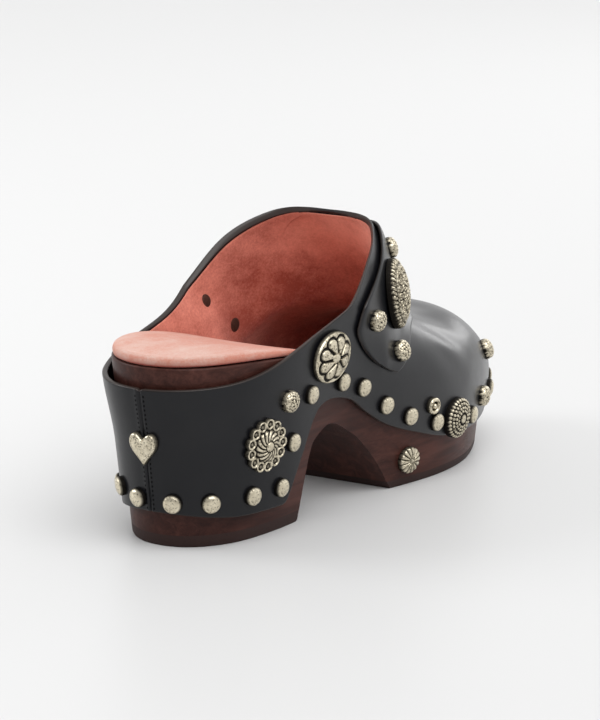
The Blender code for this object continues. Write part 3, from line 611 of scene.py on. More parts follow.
def finish_piece(name, mesh, material, slot, level=0, marks=None, sharp=None):
    """Welds, shades and dresses a mesh, and sets it on the part's one body."""
    for mark, values in (marks or {}).items():
        layer = mesh.attributes.new(mark, "FLOAT", "POINT")
        layer.data.foreach_set("value", np.asarray(values, np.float32).ravel())
    shape = bmesh.new()
    shape.from_mesh(mesh)
    bmesh.ops.remove_doubles(shape, verts=shape.verts, dist=WELD_DISTANCE)
    bmesh.ops.dissolve_degenerate(shape, edges=shape.edges, dist=WELD_DISTANCE)
    bmesh.ops.recalc_face_normals(shape, faces=shape.faces)
    shape.to_mesh(mesh)
    shape.free()
    mesh.shade_smooth()
    if sharp is not None:
        mesh.set_sharp_from_angle(angle=math.radians(sharp))
    mesh.materials.append(material)
    piece = bpy.data.objects.new(name, mesh)
    bpy.context.scene.collection.objects.link(piece)
    if level:
        smooth = piece.modifiers.new("smooth", "SUBSURF")
        smooth.levels = level
        smooth.render_levels = level
    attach(piece, BODY)
    return piece


def grid_faces(rows, columns, start=0, flip=False):
    """Quads over points stored row by row."""
    row, col = np.meshgrid(np.arange(rows - 1), np.arange(columns - 1), indexing="ij")
    corner = start + row * columns + col
    quads = np.stack([corner, corner + columns, corner + columns + 1, corner + 1], axis=-1)
    quads = quads.reshape(-1, 4)
    return (quads[:, ::-1] if flip else quads).tolist()


def strip(first, second):
    """Quads between two equally long runs of point numbers."""
    return np.stack([first[:-1], first[1:], second[1:], second[:-1]], axis=-1).tolist()


def disc_faces(rings, count):
    """Faces over a middle point and the rings of count points round it, closed by the last ring."""
    faces = []
    for i in range(count):
        j = (i + 1) % count
        faces.append([0, 1 + i, 1 + j])
        for ring in range(rings):
            a = 1 + ring * count
            faces.append([a + i, a + count + i, a + count + j, a + j])
    faces.append([1 + rings * count + i for i in range(count)])
    return faces


def proper_faces(points, faces):
    """Leaves out faces without area and walls that two sides would share on the middle line."""
    points = np.round(np.asarray(points), 3)
    seen = {}
    for face in faces:
        corners = frozenset(map(tuple, points[face]))
        if len(corners) > 2:
            seen.setdefault(corners, []).append(face)
    return [same[0] for same in seen.values() if len(same) == 1]


def steps(start, *stops):
    """Values in even steps: each stop is a value and the number of steps that lead to it."""
    runs = [np.array([start])]
    for end, count in stops:
        runs.append(np.linspace(runs[-1][-1], end, count + 1)[1:])
    return np.concatenate(runs)


# Stations of the leather: close together at the back seam, and where the collar closes.
HEEL_ENDS = 50.0
CLOSING_STARTS = 118.0
HEEL_TURN = turn_at(HEEL_ENDS)
TOE_TURN = turn_at(TOE_LEAN_STARTS)
COLLAR_TURN = turn_at(COLLAR_FRONT)
SEAM_TURNS = np.array([0.0, 0.25, 0.55, 1.0, 1.6, 2.4]) / math.sqrt(HEEL_RADIUS * LENGTH / 2.0)
LEATHER_TURNS = np.concatenate(
    [
        SEAM_TURNS,
        steps(SEAM_TURNS[-1], (HEEL_TURN, 25))[1:],
        turn_at(steps(HEEL_ENDS, (CLOSING_STARTS, 33)))[1:],
        turn_at(COLLAR_FRONT - (COLLAR_FRONT - CLOSING_STARTS) * np.linspace(1.0, 0.0, 13) ** 2)[1:],
        turn_at(steps(COLLAR_FRONT, (TOE_LEAN_STARTS, 23)))[1:],
        steps(TOE_TURN, (math.pi, 21))[1:],
    ]
)

# Near the back seam, half the width is the distance from the seam.
seam_distance = half_width
SEAM_NOTCH_DEPTH = 0.9
SEAM_NOTCH_WIDTH = 0.8
SWEEP_STARTS = 95.0
WALL_SAMPLES = 260
EDGE_ROWS_IN_WALL = 6.0


def collar_climb(side, turn):
    if turn >= COLLAR_TURN - HAIR:
        return 1.0
    notch = SEAM_NOTCH_DEPTH * math.exp(-((seam_distance(turn) / SEAM_NOTCH_WIDTH) ** 2))
    return climb_at_height(side, turn, float(collar_height(along_at(turn))) - notch, OUTER_FACE)


def spaced_climbs(turn, low, high, near_edges, count):
    """Climbs from low to high, evenly spread along the wall, with close rows at its edges."""
    climbs = np.linspace(low, high, WALL_SAMPLES)
    wall = shell_point(OUTER, turn, climbs, OUTER_FACE)
    lengths = np.concatenate([[0.0], np.cumsum(np.linalg.norm(np.diff(wall, axis=0), axis=1))])
    total = lengths[-1]
    near = np.asarray(near_edges) * min(1.0, total / (EDGE_ROWS_IN_WALL * near_edges[-1]))
    middle = np.linspace(near[-1], total - near[-1], count - 2 * len(near) + 2)
    wanted = np.concatenate([near[:-1], middle, total - near[-2::-1]])
    return np.interp(wanted, lengths, climbs)


def closing_rows(turn, low, top, edge_steps, count, low_count):
    """Rows of one section: the low ones run on level past the collar's front, the rest fill in."""
    spread = min(turn, TOE_TURN)
    sweep = top + (1.0 - top) * float(smooth_ramp(along_at(turn), SWEEP_STARTS, COLLAR_FRONT))
    lower = spaced_climbs(spread, low, sweep, edge_steps, count)[:low_count]
    upper = spaced_climbs(spread, lower[-1], top, edge_steps, count - low_count + 1)
    return np.concatenate([lower, upper[1:]])


def two_faced_shell(turns, climb_rows, outer_push, inner_push, front):
    """Closed shell over both sides of the foot, open along the collar behind a front turn.

    climb_rows gives the rows of one section; the push functions give each face's distance from
    the form.  An end gets a wall only where the two sides don't meet there.
    """
    sections = {(side, turn): climb_rows(side, turn) for side in SIDES for turn in turns}
    blocks = []
    for push in (outer_push, inner_push):
        for (side, turn), climbs in sections.items():
            blocks.append(shell_point(side, turn, climbs, push(side, turn, climbs)))
    points = np.concatenate(blocks)
    count = len(turns)
    rows = len(blocks[0])
    size = count * rows
    faces = []
    for block, flip in enumerate((False, True, True, False)):
        faces += grid_faces(count, rows, block * size, flip)
    outer, inner = points[: 2 * size].reshape(2, count, rows, 3)
    open_ends = [i for i in (0, count - 1) if not np.allclose(outer[i], inner[i], atol=SAME_PLACE)]
    behind_front = np.count_nonzero(turns < front - HAIR)
    for numbers in np.arange(2 * size).reshape(2, count, rows):
        for run in (numbers[:, 0], numbers[: behind_front + 1, -1], *numbers[open_ends]):
            faces += strip(run, run + 2 * size)
    return points, proper_faces(points, faces)


# Leather upper.
LEATHER_ROWS = 34
LEATHER_LOW_ROWS = 17
LEATHER_EDGE_STEPS = (0.0, 0.8, 2.0)

# Soft troughs from the saddle over the toe box: ends as distance along and height, then the
# width and depth of the trough.
CREASES = table(
    "side start_along start_height end_along end_height width depth",
    (OUTER, 156.0, 67.0, 180.0, 52.0, 4.8, 0.7),
    (OUTER, 153.0, 61.0, 170.0, 44.0, 6.0, 0.35),
    (OUTER, 160.0, 72.0, 192.0, 60.0, 5.0, 0.5),
    (INNER, 156.0, 66.0, 178.0, 51.0, 5.0, 0.6),
    (INNER, 160.0, 72.0, 189.0, 61.0, 5.5, 0.45),
)
CREASE_ENDS = (0.06, 0.94)
CREASE_FADE = 0.7
CREASE_RIDGE = 0.55
RIDGE_PLACE = 1.6


def place_at(side, along, height, push):
    """Turn and climb of the wall's place at a distance along the shoe and a height."""
    turn = float(turn_at(along))
    return turn, climb_at_height(side, turn, height, push)


def crease_relief(side, points):
    """Depth of the listed creases at points of the leather, negative in the troughs."""
    relief = np.zeros(len(points))
    for crease in CREASES:
        if crease.side != side:
            continue
        start = place_at(side, crease.start_along, crease.start_height, OUTER_FACE)
        end = place_at(side, crease.end_along, crease.end_height, OUTER_FACE)
        first = shell_point(side, *start, OUTER_FACE)
        run = shell_point(side, *end, OUTER_FACE) - first
        share = np.clip((points - first) @ run / (run @ run), 0.0, 1.0)
        away = np.linalg.norm(points - first - share[:, None] * run, axis=1) / crease.width
        fade = np.sin(math.pi * np.clip(share, *CREASE_ENDS)) ** CREASE_FADE
        ridge = CREASE_RIDGE * np.exp(-((away - RIDGE_PLACE) ** 2))
        relief += crease.depth * fade * (ridge - np.exp(-away ** 2))
    return relief


SEAM_GROOVE_DEPTH = 0.75
SEAM_GROOVE_WIDTH = 0.42
SEAM_RIDGE = 0.34
SEAM_RIDGE_PLACE = 1.2
SEAM_RIDGE_WIDTH = 0.8
RIM_FLARE = {OUTER: 0.85, INNER: 1.9}
SEAM_FLARE = 1.3
SEAM_FLARE_ENDS = 14.0
FLARE_DEPTH = 28.0
FLARE_GOES = (30.0, 70.0)
WALL_THINS_OVER = 0.05


def rim_flare(side, turn, climbs):
    """How far the leather's top edge stands off the wood at the back, most on the inner side."""
    along = along_at(turn)
    away = smooth_ramp(seam_distance(turn), 0.0, SEAM_FLARE_ENDS)
    reach = SEAM_FLARE + (RIM_FLARE[side] - SEAM_FLARE) * away
    reach = reach * (1.0 - smooth_ramp(along, *FLARE_GOES))
    height = shell_point(side, turn, climbs, OUTER_FACE)[:, 2]
    return reach * smooth_ramp(height, collar_height(along) - FLARE_DEPTH, collar_height(along))


def seam_relief(turn):
    """The back seam: a groove between two soft ridges."""
    away = seam_distance(turn)
    ridge = SEAM_RIDGE * math.exp(-(((away - SEAM_RIDGE_PLACE) / SEAM_RIDGE_WIDTH) ** 2))
    return ridge - SEAM_GROOVE_DEPTH * math.exp(-((away / SEAM_GROOVE_WIDTH) ** 2))


def build_upper():
    def rows(side, turn):
        top = collar_climb(side, turn)
        return closing_rows(turn, -1.0, top, LEATHER_EDGE_STEPS, LEATHER_ROWS, LEATHER_LOW_ROWS)

    def outer_push(side, turn, climbs):
        points = shell_point(side, turn, climbs, OUTER_FACE)
        relief = crease_relief(side, points) + seam_relief(turn)
        return OUTER_FACE + relief + rim_flare(side, turn, climbs)

    def inner_push(side, turn, climbs):
        push = INNER_FACE + (LEATHER_BACK - INNER_FACE) * smooth_ramp(climbs, 0.0, WALL_THINS_OVER)
        if turn < COLLAR_TURN - HAIR:
            push[-2:] = INNER_FACE
        return push + rim_flare(side, turn, climbs)

    points, faces = two_faced_shell(LEATHER_TURNS, rows, outer_push, inner_push, COLLAR_TURN)
    edge = np.zeros((4, len(LEATHER_TURNS), LEATHER_ROWS))
    edge[:, :, 0] = 1.0
    edge[:, LEATHER_TURNS < COLLAR_TURN, -1] = 1.0
    piece = add_piece("upper_leather", points, faces, LEATHER, "leather", level=1, marks={"edge": edge})
    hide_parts("upper")


# Suede lining, from the wood's edge to just under the collar's rim.
LINING_STARTS = 48.0
LINING_ROWS = 26
LINING_LOW_ROWS = 12
LINING_EDGE_STEPS = (0.0, 0.8)
LINING_BELOW_RIM = 0.9
LINING_LOWEST = 0.02
LINING_FRONT = 1.7
FRONT_COMES = (70.0, 90.0)
FRONT_GOES = (200.0, 230.0)

# Painted light and shade on the lining: painted light by the rim and over the instep, where light falls
# in, and painted shade low inside.
LINING_PAINTED_LIGHT = 0.16
PAINTED_LIGHT_BY_RIM = 0.6
RIM_HEIGHTS = (80.0, 106.0)
PAINTED_LIGHT_ROOF = 0.55
ROOF_ACROSS = (4.0, 24.0)
INSTEP_COMES = (125.0, 146.0)
PAINTED_SHADE_INSIDE = 0.5
PAINTED_SHADE_HEIGHTS = (82.0, 102.0)
PAINTED_SHADE_COMES = (98.0, 128.0)


def build_lining():
    along = along_at(LEATHER_TURNS)
    shift = LINING_FRONT * smooth_ramp(along, *FRONT_COMES) * (1.0 - smooth_ramp(along, *FRONT_GOES))
    turns = turn_at(along + shift)[along > LINING_STARTS]
    front = turn_at(COLLAR_FRONT + LINING_FRONT)

    def rows(side, turn):
        top = 1.0
        if turn < front - HAIR:
            place = along_at(turn)
            below = LINING_BELOW_RIM * (1.0 - smooth_ramp(place, CLOSING_STARTS, COLLAR_FRONT))
            height = float(collar_height(place - LINING_FRONT) - below)
            top = max(climb_at_height(side, turn, height, OUTER_FACE), LINING_LOWEST)
        return closing_rows(turn, 0.0, top, LINING_EDGE_STEPS, LINING_ROWS, LINING_LOW_ROWS)

    def level_push(distance):
        return lambda side, turn, climbs: np.full(len(climbs), distance)

    points, faces = two_faced_shell(turns, rows, level_push(LINING_BACK), level_push(INNER_FACE), front)
    place, across, height = points.T
    # Painted light by the rim and over the instep, and painted shade low inside, as a mark that shifts
    # the suede's colour.
    instep = smooth_ramp(place, *INSTEP_COMES)
    by_rim = PAINTED_LIGHT_BY_RIM * smooth_ramp(height, *RIM_HEIGHTS) * instep
    roof = PAINTED_LIGHT_ROOF * (1.0 - smooth_ramp(across, *ROOF_ACROSS)) * instep
    wear_and_painted_shade = PAINTED_SHADE_INSIDE * (1.0 - smooth_ramp(height, *PAINTED_SHADE_HEIGHTS)) * smooth_ramp(place, *PAINTED_SHADE_COMES)
    marks = {"painted_light_and_shade": LINING_PAINTED_LIGHT + by_rim + roof - wear_and_painted_shade}
    add_piece("upper_lining", points, faces, LINING_SUEDE, "suede", level=1, marks=marks)


# Instep strap.
STRAP_STEPS = 44
STRAP_END_STEPS = (0.0, 0.006, 0.016)
STRAP_SHARES = np.array([0.0, 0.014, 0.04, *np.linspace(0.10, 0.90, 11), 0.96, 0.986, 1.0])
STRAP_EDGE = np.array([0.35, 0.82, 1.0, *np.ones(11), 1.0, 0.82, 0.35])


def strap_edge(name):
    """Edge of the strap, mirrored past the crown so that the two sides meet without a corner."""
    climbs = column(STRAP_ROWS, "climb", 1.0)
    places = column(STRAP_ROWS, name, LENGTH)
    far_climbs = [2.0 - climb for climb in climbs[-2::-1]]
    return eased_curve(climbs + far_climbs, places + places[-2::-1])


def build_strap():
    """Band over the instep, from tip to tip, with its edges rounded."""
    rear = strap_edge("rear")
    front = strap_edge("front")
    low = STRAP_ROWS[0].climb
    share = np.linspace(0.0, 1.0, STRAP_STEPS + 1)
    climbs = low + (1.0 - low) * np.concatenate([STRAP_END_STEPS, share[1:]])
    path = [(OUTER, climb) for climb in climbs] + [(INNER, climb) for climb in climbs[-2::-1]]
    seat = OUTER_FACE + STRAP_SEAT
    blocks = []
    for push in (seat + STRAP_THICKNESS * STRAP_EDGE, seat):
        for side, climb in path:
            along = rear(climb) + (front(climb) - rear(climb)) * STRAP_SHARES
            blocks.append(vamp_point(side, turn_at(along), np.full(len(along), climb), push))
    points = np.concatenate(blocks)
    length = len(path)
    width = len(STRAP_SHARES)
    size = length * width
    faces = grid_faces(length, width, 0, False) + grid_faces(length, width, size, True)
    numbers = np.arange(size).reshape(length, width)
    for rim in (numbers[0], numbers[-1], numbers[:, 0], numbers[:, -1]):
        faces += strip(rim, rim + size)
    edge = np.zeros((2, length, width))
    edge[:, :, [0, -1]] = 1.0
    edge[:, [0, -1], :] = 1.0
    piece = add_piece("strap_leather", points, faces, LEATHER, "leather", level=1, marks={"edge": edge})
    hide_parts("instep_strap")


# Sole.
SOLE_TURNS = np.concatenate(
    [
        steps(0.0, (HEEL_TURN, 29)),
        turn_at(steps(HEEL_ENDS, (WOOD_BREAST, 7), (WOOD_FOREFOOT, 49), (TOE_LEAN_STARTS, 23)))[1:],
        steps(TOE_TURN, (math.pi, 25))[1:],
    ]
)
WOOD_EDGE_ROUND = 0.9
FLOOR_EDGE_ROUND = 0.5
FLOOR_EDGE_FROM = 0.8
EDGE_LEVELS = 4
WALL_LEVELS = 10
SHARP_ANGLE = 40.0
LIFT_STATIONS_END = 60.0
TREAD_STATIONS_START = FOREFOOT_FLOOR + 3.0


def slab_mesh(levels_of_sides):
    """Points and faces of a solid between stacked outlines; a level holds two sides' points."""
    count = len(levels_of_sides[0][0])
    points = np.concatenate([side for level in levels_of_sides for side in level])
    numbers = np.arange(len(points)).reshape(-1, 2, count)
    faces = grid_faces(2, count) + grid_faces(2, count, len(points) - 2 * count)
    for low, high in zip(numbers[:-1], numbers[1:]):
        for first, second in zip((*low, low[:, 0], low[:, -1]), (*high, high[:, 0], high[:, -1])):
            faces += strip(first, second)
    return points, proper_faces(points, faces)


def spring(along):
    return TOE_SPRING * ramp(along, SPRING_STARTS, LENGTH) ** 2


def wood_bottom(along):
    before_tread = np.where(along <= WOOD_BREAST, LIFT_THICKNESS, arch_height(along))
    return np.where(along < WOOD_FOREFOOT, before_tread, spring(along) + TREAD_THICKNESS)


def build_wood():
    along = along_at(SOLE_TURNS)
    depth = edge_height(along) - wood_bottom(along)
    rows = []
    for angle in np.linspace(0.0, math.pi / 2.0, EDGE_LEVELS):
        drop = WOOD_EDGE_ROUND * (1.0 - math.cos(angle))
        rows.append((drop, -WOOD_EDGE_ROUND * (1.0 - math.sin(angle))))
    for share in np.linspace(0.0, 1.0, WALL_LEVELS)[1:]:
        rows.append((WOOD_EDGE_ROUND + (depth - WOOD_EDGE_ROUND) * share, 0.0))
    stack = [[wood_side(side, SOLE_TURNS, drop, push) for side in SIDES] for drop, push in rows]
    piece = add_piece("sole_wood", *slab_mesh(stack), WOOD, "wood", sharp=SHARP_ANGLE)
    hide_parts("wood_sole")


def build_rubber(name, replaced, along, top_end, bottom_end, top, bottom):
    """Rubber plate under the wood with its lower edge broken; its two ends follow the arch."""
    stack = []
    for share, push in ((0.0, 0.0), (FLOOR_EDGE_FROM, 0.0), (1.0, -FLOOR_EDGE_ROUND)):
        end = top_end + (bottom_end - top_end) * share
        places = np.append(along, end) if end > along[-1] else np.insert(along, 0, end)
        height = top(places) + (bottom(places) - top(places)) * share
        depth = edge_height(places) - height
        stack.append([wood_side(side, turn_at(places), depth, push) for side in SIDES])
    piece = add_piece(name, *slab_mesh(stack), RUBBER, "rubber", sharp=SHARP_ANGLE)
    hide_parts(replaced)


def build_floor_pieces():
    along = along_at(SOLE_TURNS)
    build_rubber(
        "heel_rubber",
        "heel_lift",
        along[along < LIFT_STATIONS_END],
        LIFT_TOP_END,
        BREAST_FLOOR,
        lambda x: np.full(len(x), LIFT_THICKNESS),
        lambda x: np.zeros(len(x)),
    )
    build_rubber(
        "forefoot_rubber",
        "forefoot_tread",
        along[along > TREAD_STATIONS_START],
        TREAD_TOP_START,
        FOREFOOT_FLOOR,
        lambda x: spring(x) + TREAD_THICKNESS,
        spring,
    )


# Insole: a padded sheet with rolled edges and a soft dish.
INSOLE_TURNS = steps(0.0, (0.9, 25), (2.3, 45), (math.pi, 23))
INSOLE_HEEL_THICKNESS = 4.2
INSOLE_TOE_THICKNESS = 2.4
INSOLE_HEEL_INSET = 0.5
INSOLE_TOE_INSET = 4.0
INSOLE_THINS = (12.0, 76.0)
INSOLE_NARROWS = (90.0, 225.0)
INSOLE_ROLL = 2.4
ROLL_STARTS = 0.56
ROLL_ENDS = 0.9
ROLL_LEVELS = 4
INSOLE_DISH = -0.6
DISH_RISES = 4.0
# Painted light and shade on the insole: paler at the back, and painted shade towards the front, deeper
# in the shoe, and on its rolled side.
INSOLE_PAINTED_LIGHT = 0.10
INSOLE_PAINTED_SHADE = 0.55
INSOLE_SHADE_COMES = (5.0, 65.0)
INSOLE_SIDE_SHADE = 0.3
INSOLE_SHARES = (0.9, 0.75, 0.5, 0.25, 0.0)
INSOLE_FOOT = ((0.7, 0.0), (0.12, 0.08), (0.0, 0.34))


def insole_levels(turns):
    """Rings of the insole from its underside, round the rolled edge and over the dish."""
    along = along_at(turns)
    thins = smooth_ramp(along, *INSOLE_THINS)
    narrows = smooth_ramp(along, *INSOLE_NARROWS)
    thickness = INSOLE_HEEL_THICKNESS + (INSOLE_TOE_THICKNESS - INSOLE_HEEL_THICKNESS) * thins
    inset = INSOLE_HEEL_INSET + (INSOLE_TOE_INSET - INSOLE_HEEL_INSET) * narrows
    seat = edge_height(along) + SEAT_GAP
    profile = list(INSOLE_FOOT)
    for angle in np.linspace(0.0, ROLL_ENDS * math.pi / 2.0, ROLL_LEVELS):
        height = ROLL_STARTS + (1.0 - ROLL_STARTS) * math.sin(angle)
        profile.append((INSOLE_ROLL * (1.0 - math.cos(angle)), height))
    rings = []
    for pulled, height in profile:
        sides = []
        for side in SIDES:
            x, y = outline_point(side, turns, -inset - pulled)
            sides.append(np.stack([x, y, seat + height * thickness], axis=-1))
        rings.append(sides)
    edge = rings[-1]
    middle = 0.5 * (edge[0] + edge[1])
    for reach in INSOLE_SHARES:
        dish = np.zeros_like(middle)
        dish[:, 2] = INSOLE_DISH * (1.0 - reach ** 2) * np.clip(DISH_RISES * np.sin(turns), 0.0, 1.0)
        rings.append([middle + (points - middle) * reach + dish for points in edge])
    return rings


def build_insole():
    rings = insole_levels(INSOLE_TURNS)
    along = np.tile(along_at(INSOLE_TURNS), 2)
    edge = np.zeros((len(rings), len(along)))
    edge[:2] = 1.0
    edge[2] = 0.25
    # Painted shade: darker towards the front and on the rolled side.
    painted_light_and_shade = np.empty(edge.shape)
    painted_light_and_shade[:] = INSOLE_PAINTED_LIGHT - INSOLE_PAINTED_SHADE * smooth_ramp(along, *INSOLE_SHADE_COMES)
    painted_light_and_shade[2:5] -= INSOLE_SIDE_SHADE
    marks = {"edge": edge, "painted_light_and_shade": painted_light_and_shade}
    piece = add_piece("insole_pad", *slab_mesh(rings), INSOLE_SUEDE, "suede", level=1, marks=marks)
    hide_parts("insole")


# Metal trim: height fields over round plates, in millimetres about each piece's own seat.
# A relief gives the height and the shine at a reach, as a share of the plate's radius, and an angle.
SEAT_DEPTH = 0.9


def cap(share):
    """Round hump that falls to nothing where share reaches 1."""
    return np.sqrt(np.clip(1.0 - share ** 2, 0.0, 1.0))


def spoke(angle, count, shift=0.0):
    """Angle to the nearest of count evenly spaced spokes."""
    step = 2.0 * math.pi / count
    return (angle - shift + step / 2.0) % step - step / 2.0


def bead_distance(reach, angle, bead, shift=0.0):
    """Distance to the nearest bead of a ring, 1 at its edge."""
    beside = spoke(angle, bead.count, shift) * bead.ring / bead.wide
    return np.hypot((reach - bead.ring) / bead.deep, beside)


def nail_relief(reach, angle):
    dents = 0.02 * np.cos(3.0 * angle + 4.0 * reach) + 0.02 * np.cos(5.0 * angle - 9.0 * reach)
    height = 0.5 + 1.8 * np.clip(1.0 - reach ** 2.6, 0.0, 1.0) ** 0.58
    # The shine falls to nothing at the rim: patina, and painted shade where the nail meets the leather.
    return height + dents * reach * (1.0 - reach ** 4), np.clip(6.0 * (0.98 - reach), 0.0, 1.0)


NUGGET_SEEDS = 58
NUGGET_GRAIN = 0.165
NUGGET_DOME = 0.6
GOLDEN_ANGLE = math.pi * (3.0 - math.sqrt(5.0))


def nugget_relief(reach, angle):
    dome = cap(reach)
    bumps = np.zeros(np.broadcast(reach, angle).shape)
    for i in range(NUGGET_SEEDS):
        level = 1.0 - (i + 0.5) / NUGGET_SEEDS
        out = math.sqrt(1.0 - level ** 2)
        beside = reach ** 2 + out ** 2 - 2.0 * reach * out * np.cos(angle - GOLDEN_ANGLE * i)
        apart = np.sqrt(np.maximum(beside, 0.0) + (NUGGET_DOME * (dome - level)) ** 2)
        bumps = np.maximum(bumps, cap(apart / (NUGGET_GRAIN + 0.025 * math.sin(5.0 * i))))
    raised = 0.45 * bumps * (1.0 - smooth_ramp(reach, 0.93, 1.0))
    return 0.3 + 2.75 * dome + raised, smooth_ramp(bumps, 0.1, 0.62)


def ring_relief(reach, angle):
    hoop = cap((reach - 0.76) / 0.25)
    bead = cap(reach / 0.36)
    return 0.45 + 1.3 * hoop + 1.75 * bead, np.clip(1.6 * np.maximum(hoop, bead), 0.0, 1.0)


def fluted_relief(reach, angle):
    flute = np.abs(np.cos(7.0 * angle)) ** 0.7 * smooth_ramp(reach, 0.12, 0.3)
    button = cap(reach / 0.2)
    height = 0.5 + 1.5 * np.clip(1.0 - reach ** 2, 0.0, 1.0) ** 0.5 + 0.75 * flute + 0.8 * button
    return height, np.clip(1.35 * np.maximum(flute, button) - 0.25, 0.0, 1.0)


LOOPS = 13
LOOP_RING = 0.79
LOOP_RADIUS = 0.20


def loop_outline(angle):
    """Scalloped edge of the sunburst: the outside of its ring of loops."""
    away = spoke(angle, LOOPS)
    chord = np.sqrt(np.maximum(LOOP_RADIUS ** 2 - (LOOP_RING * np.sin(away)) ** 2, 1e-4))
    return LOOP_RING * np.cos(away) + chord


def sunburst_relief(reach, angle):
    radius = reach * loop_outline(angle)
    away = np.hypot(radius - LOOP_RING, spoke(angle, LOOPS) * LOOP_RING) / LOOP_RADIUS
    loop = cap((away - 0.82) / 0.22)
    seed = cap(away / 0.38)
    dome = cap(radius / 0.60)
    flute = np.abs(np.cos(7.0 * (angle + 1.7 * radius))) * smooth_ramp(radius, 0.16, 0.26)
    flute = flute * (1.0 - smooth_ramp(radius, 0.54, 0.60))
    button = cap(radius / 0.19)
    height = 0.7 + 0.75 * loop + 0.65 * seed + 1.9 * dome ** 1.3 + 0.75 * flute + 1.1 * button
    loops = np.maximum(smooth_ramp(loop, 0.30, 0.85), 0.45 * smooth_ramp(seed, 0.4, 0.9))
    middle = np.maximum(smooth_ramp(flute, 0.40, 0.85), smooth_ramp(button, 0.2, 0.5))
    return height, np.maximum(loops, middle)


PETALS = 8
PETAL_TIP = 0.62
PETAL_RADIUS = 0.215
PETAL_ROOT = 0.20
PETAL_LINE = 0.09
ROOT_HALF = 0.012
BUTTON_RADIUS = 0.21


def flower_relief(reach, angle):
    away = spoke(angle, PETALS, math.pi / PETALS)
    out = reach * np.cos(away)
    across = np.abs(reach * np.sin(away))
    widening = ramp(out, PETAL_ROOT, PETAL_TIP)
    half = np.where(out > PETAL_TIP, PETAL_RADIUS, ROOT_HALF + (PETAL_RADIUS - ROOT_HALF) * widening)
    beside = np.where(out > PETAL_TIP, np.hypot(out - PETAL_TIP, across), across)
    outside = np.where(out < PETAL_ROOT, PETAL_LINE / 2.0, beside - half)
    leaf = cap(np.clip(beside / half, 0.0, 1.0)) * (out > PETAL_ROOT)
    line = smooth_ramp(outside, -0.02, 0.0) * (1.0 - smooth_ramp(outside, PETAL_LINE, 1.3 * PETAL_LINE))
    button = cap(reach / BUTTON_RADIUS)
    lip = smooth_ramp(reach, 0.90, 0.94) * (1.0 - smooth_ramp(reach, 0.97, 1.0))
    height = 0.9 + 1.7 * (1.0 - reach ** 2) + 0.75 * leaf - 0.45 * line + 1.0 * button + 0.16 * lip
    height = height - 0.4 * smooth_ramp(reach, 0.95, 1.0)
    return height, np.clip(1.0 - line * (button < 0.3), 0.0, 1.0)


BEAD_COLUMNS = "ring count deep wide"
WOVEN_ROWS = table(
    BEAD_COLUMNS,
    (0.91, 30, 0.085, 0.085),
    (0.73, 24, 0.085, 0.085),
    (0.55, 18, 0.080, 0.085),
    (0.39, 13, 0.075, 0.085),
)
WOVEN_BUTTON = 0.25


def woven_relief(reach, angle):
    weave = cap(reach / WOVEN_BUTTON)
    for order, row in enumerate(WOVEN_ROWS):
        weave = np.maximum(weave, cap(bead_distance(reach, angle, row, 0.1 * order)))
    height = 0.6 + 2.9 * np.clip(1.0 - reach ** 2, 0.0, 1.0) ** 0.6 + 0.75 * weave
    return height, smooth_ramp(weave, 0.36, 0.86)


OVAL_ROPE, *OVAL_SCROLLS = table(
    BEAD_COLUMNS,
    (0.92, 44, 0.085, 0.058),
    (0.68, 20, 0.10, 0.10),
    (0.45, 14, 0.10, 0.095),
    (0.23, 7, 0.09, 0.09),
)


def oval_relief(reach, angle):
    rope = cap(bead_distance(reach, angle + 0.5 * (reach - OVAL_ROPE.ring), OVAL_ROPE))
    scroll = cap(reach / 0.17)
    for row in OVAL_SCROLLS:
        away = bead_distance(reach, angle, row)
        scroll = np.maximum(scroll, np.maximum(cap((away - 0.75) / 0.3), cap(away / 0.35)))
    scroll = np.maximum(scroll, 0.8 * cap((reach - 0.80) / 0.03))
    dome = np.clip(1.0 - reach ** 2, 0.0, 1.0) ** 0.7
    height = 0.8 + 4.6 * dome + 0.9 * rope + 1.0 * scroll
    return height, smooth_ramp(np.maximum(rope, scroll), 0.25, 0.80)


def heart_outline(angle):
    """Heart seen from the front, point down, as the edge's place across and up."""
    across = np.sin(angle) * (0.15 + 0.85 * np.abs(np.sin(angle)) ** 1.6)
    up = 13.0 * np.cos(angle) - 5.0 * np.cos(2.0 * angle)
    up = up - 2.0 * np.cos(3.0 * angle) - np.cos(4.0 * angle)
    up = up + 1.8 * np.exp((np.cos(angle) - 1.0) / 0.06)
    return across, (up + 2.5) / 14.5


def heart_relief(reach, angle):
    line = np.clip(1.0 - np.abs(reach - 0.80) / 0.035, 0.0, 1.0)
    dents = 0.04 * np.cos(4.0 * angle + 11.0 * reach) + 0.04 * np.cos(7.0 * angle - 15.0 * reach)
    height = 1.3 + 1.2 * np.clip(1.0 - reach ** 5, 0.0, 1.0) ** 0.5 - 0.16 * line
    return height + dents * (1.0 - reach ** 6), np.clip(1.0 - 0.55 * line, 0.0, 1.0)


TrimKind = namedtuple("TrimKind", "long wide rings segments rim_shine relief material")
TRIM_KINDS = {
    "nail": TrimKind(8.0, 8.0, 16, 36, 0.0, nail_relief, SILVER),
    "nugget": TrimKind(9.2, 9.2, 30, 96, 0.9, nugget_relief, CHASED_SILVER),
    "ring": TrimKind(7.4, 7.4, 24, 40, 0.3, ring_relief, CHASED_SILVER),
    "sunburst": TrimKind(22.5, 22.5, 60, 195, 0.3, sunburst_relief, CHASED_SILVER),
    "flower": TrimKind(26.2, 21.6, 70, 200, 0.3, flower_relief, CHASED_SILVER),
    "woven": TrimKind(18.0, 18.0, 52, 180, 0.5, woven_relief, CHASED_SILVER),
    "fluted": TrimKind(11.5, 11.5, 24, 112, 0.5, fluted_relief, CHASED_SILVER),
    "oval": TrimKind(23.0, 30.0, 60, 240, 0.4, oval_relief, AGED_SILVER),
    "heart": TrimKind(12.4, 13.2, 26, 120, 0.4, heart_relief, HAMMERED_SILVER),
}
TURNED_KINDS = ("nail", "nugget")
TRIM_TURN = 2.4
TRIM_SHARP_ANGLE = 60.0
SAME_FACING = 0.9995


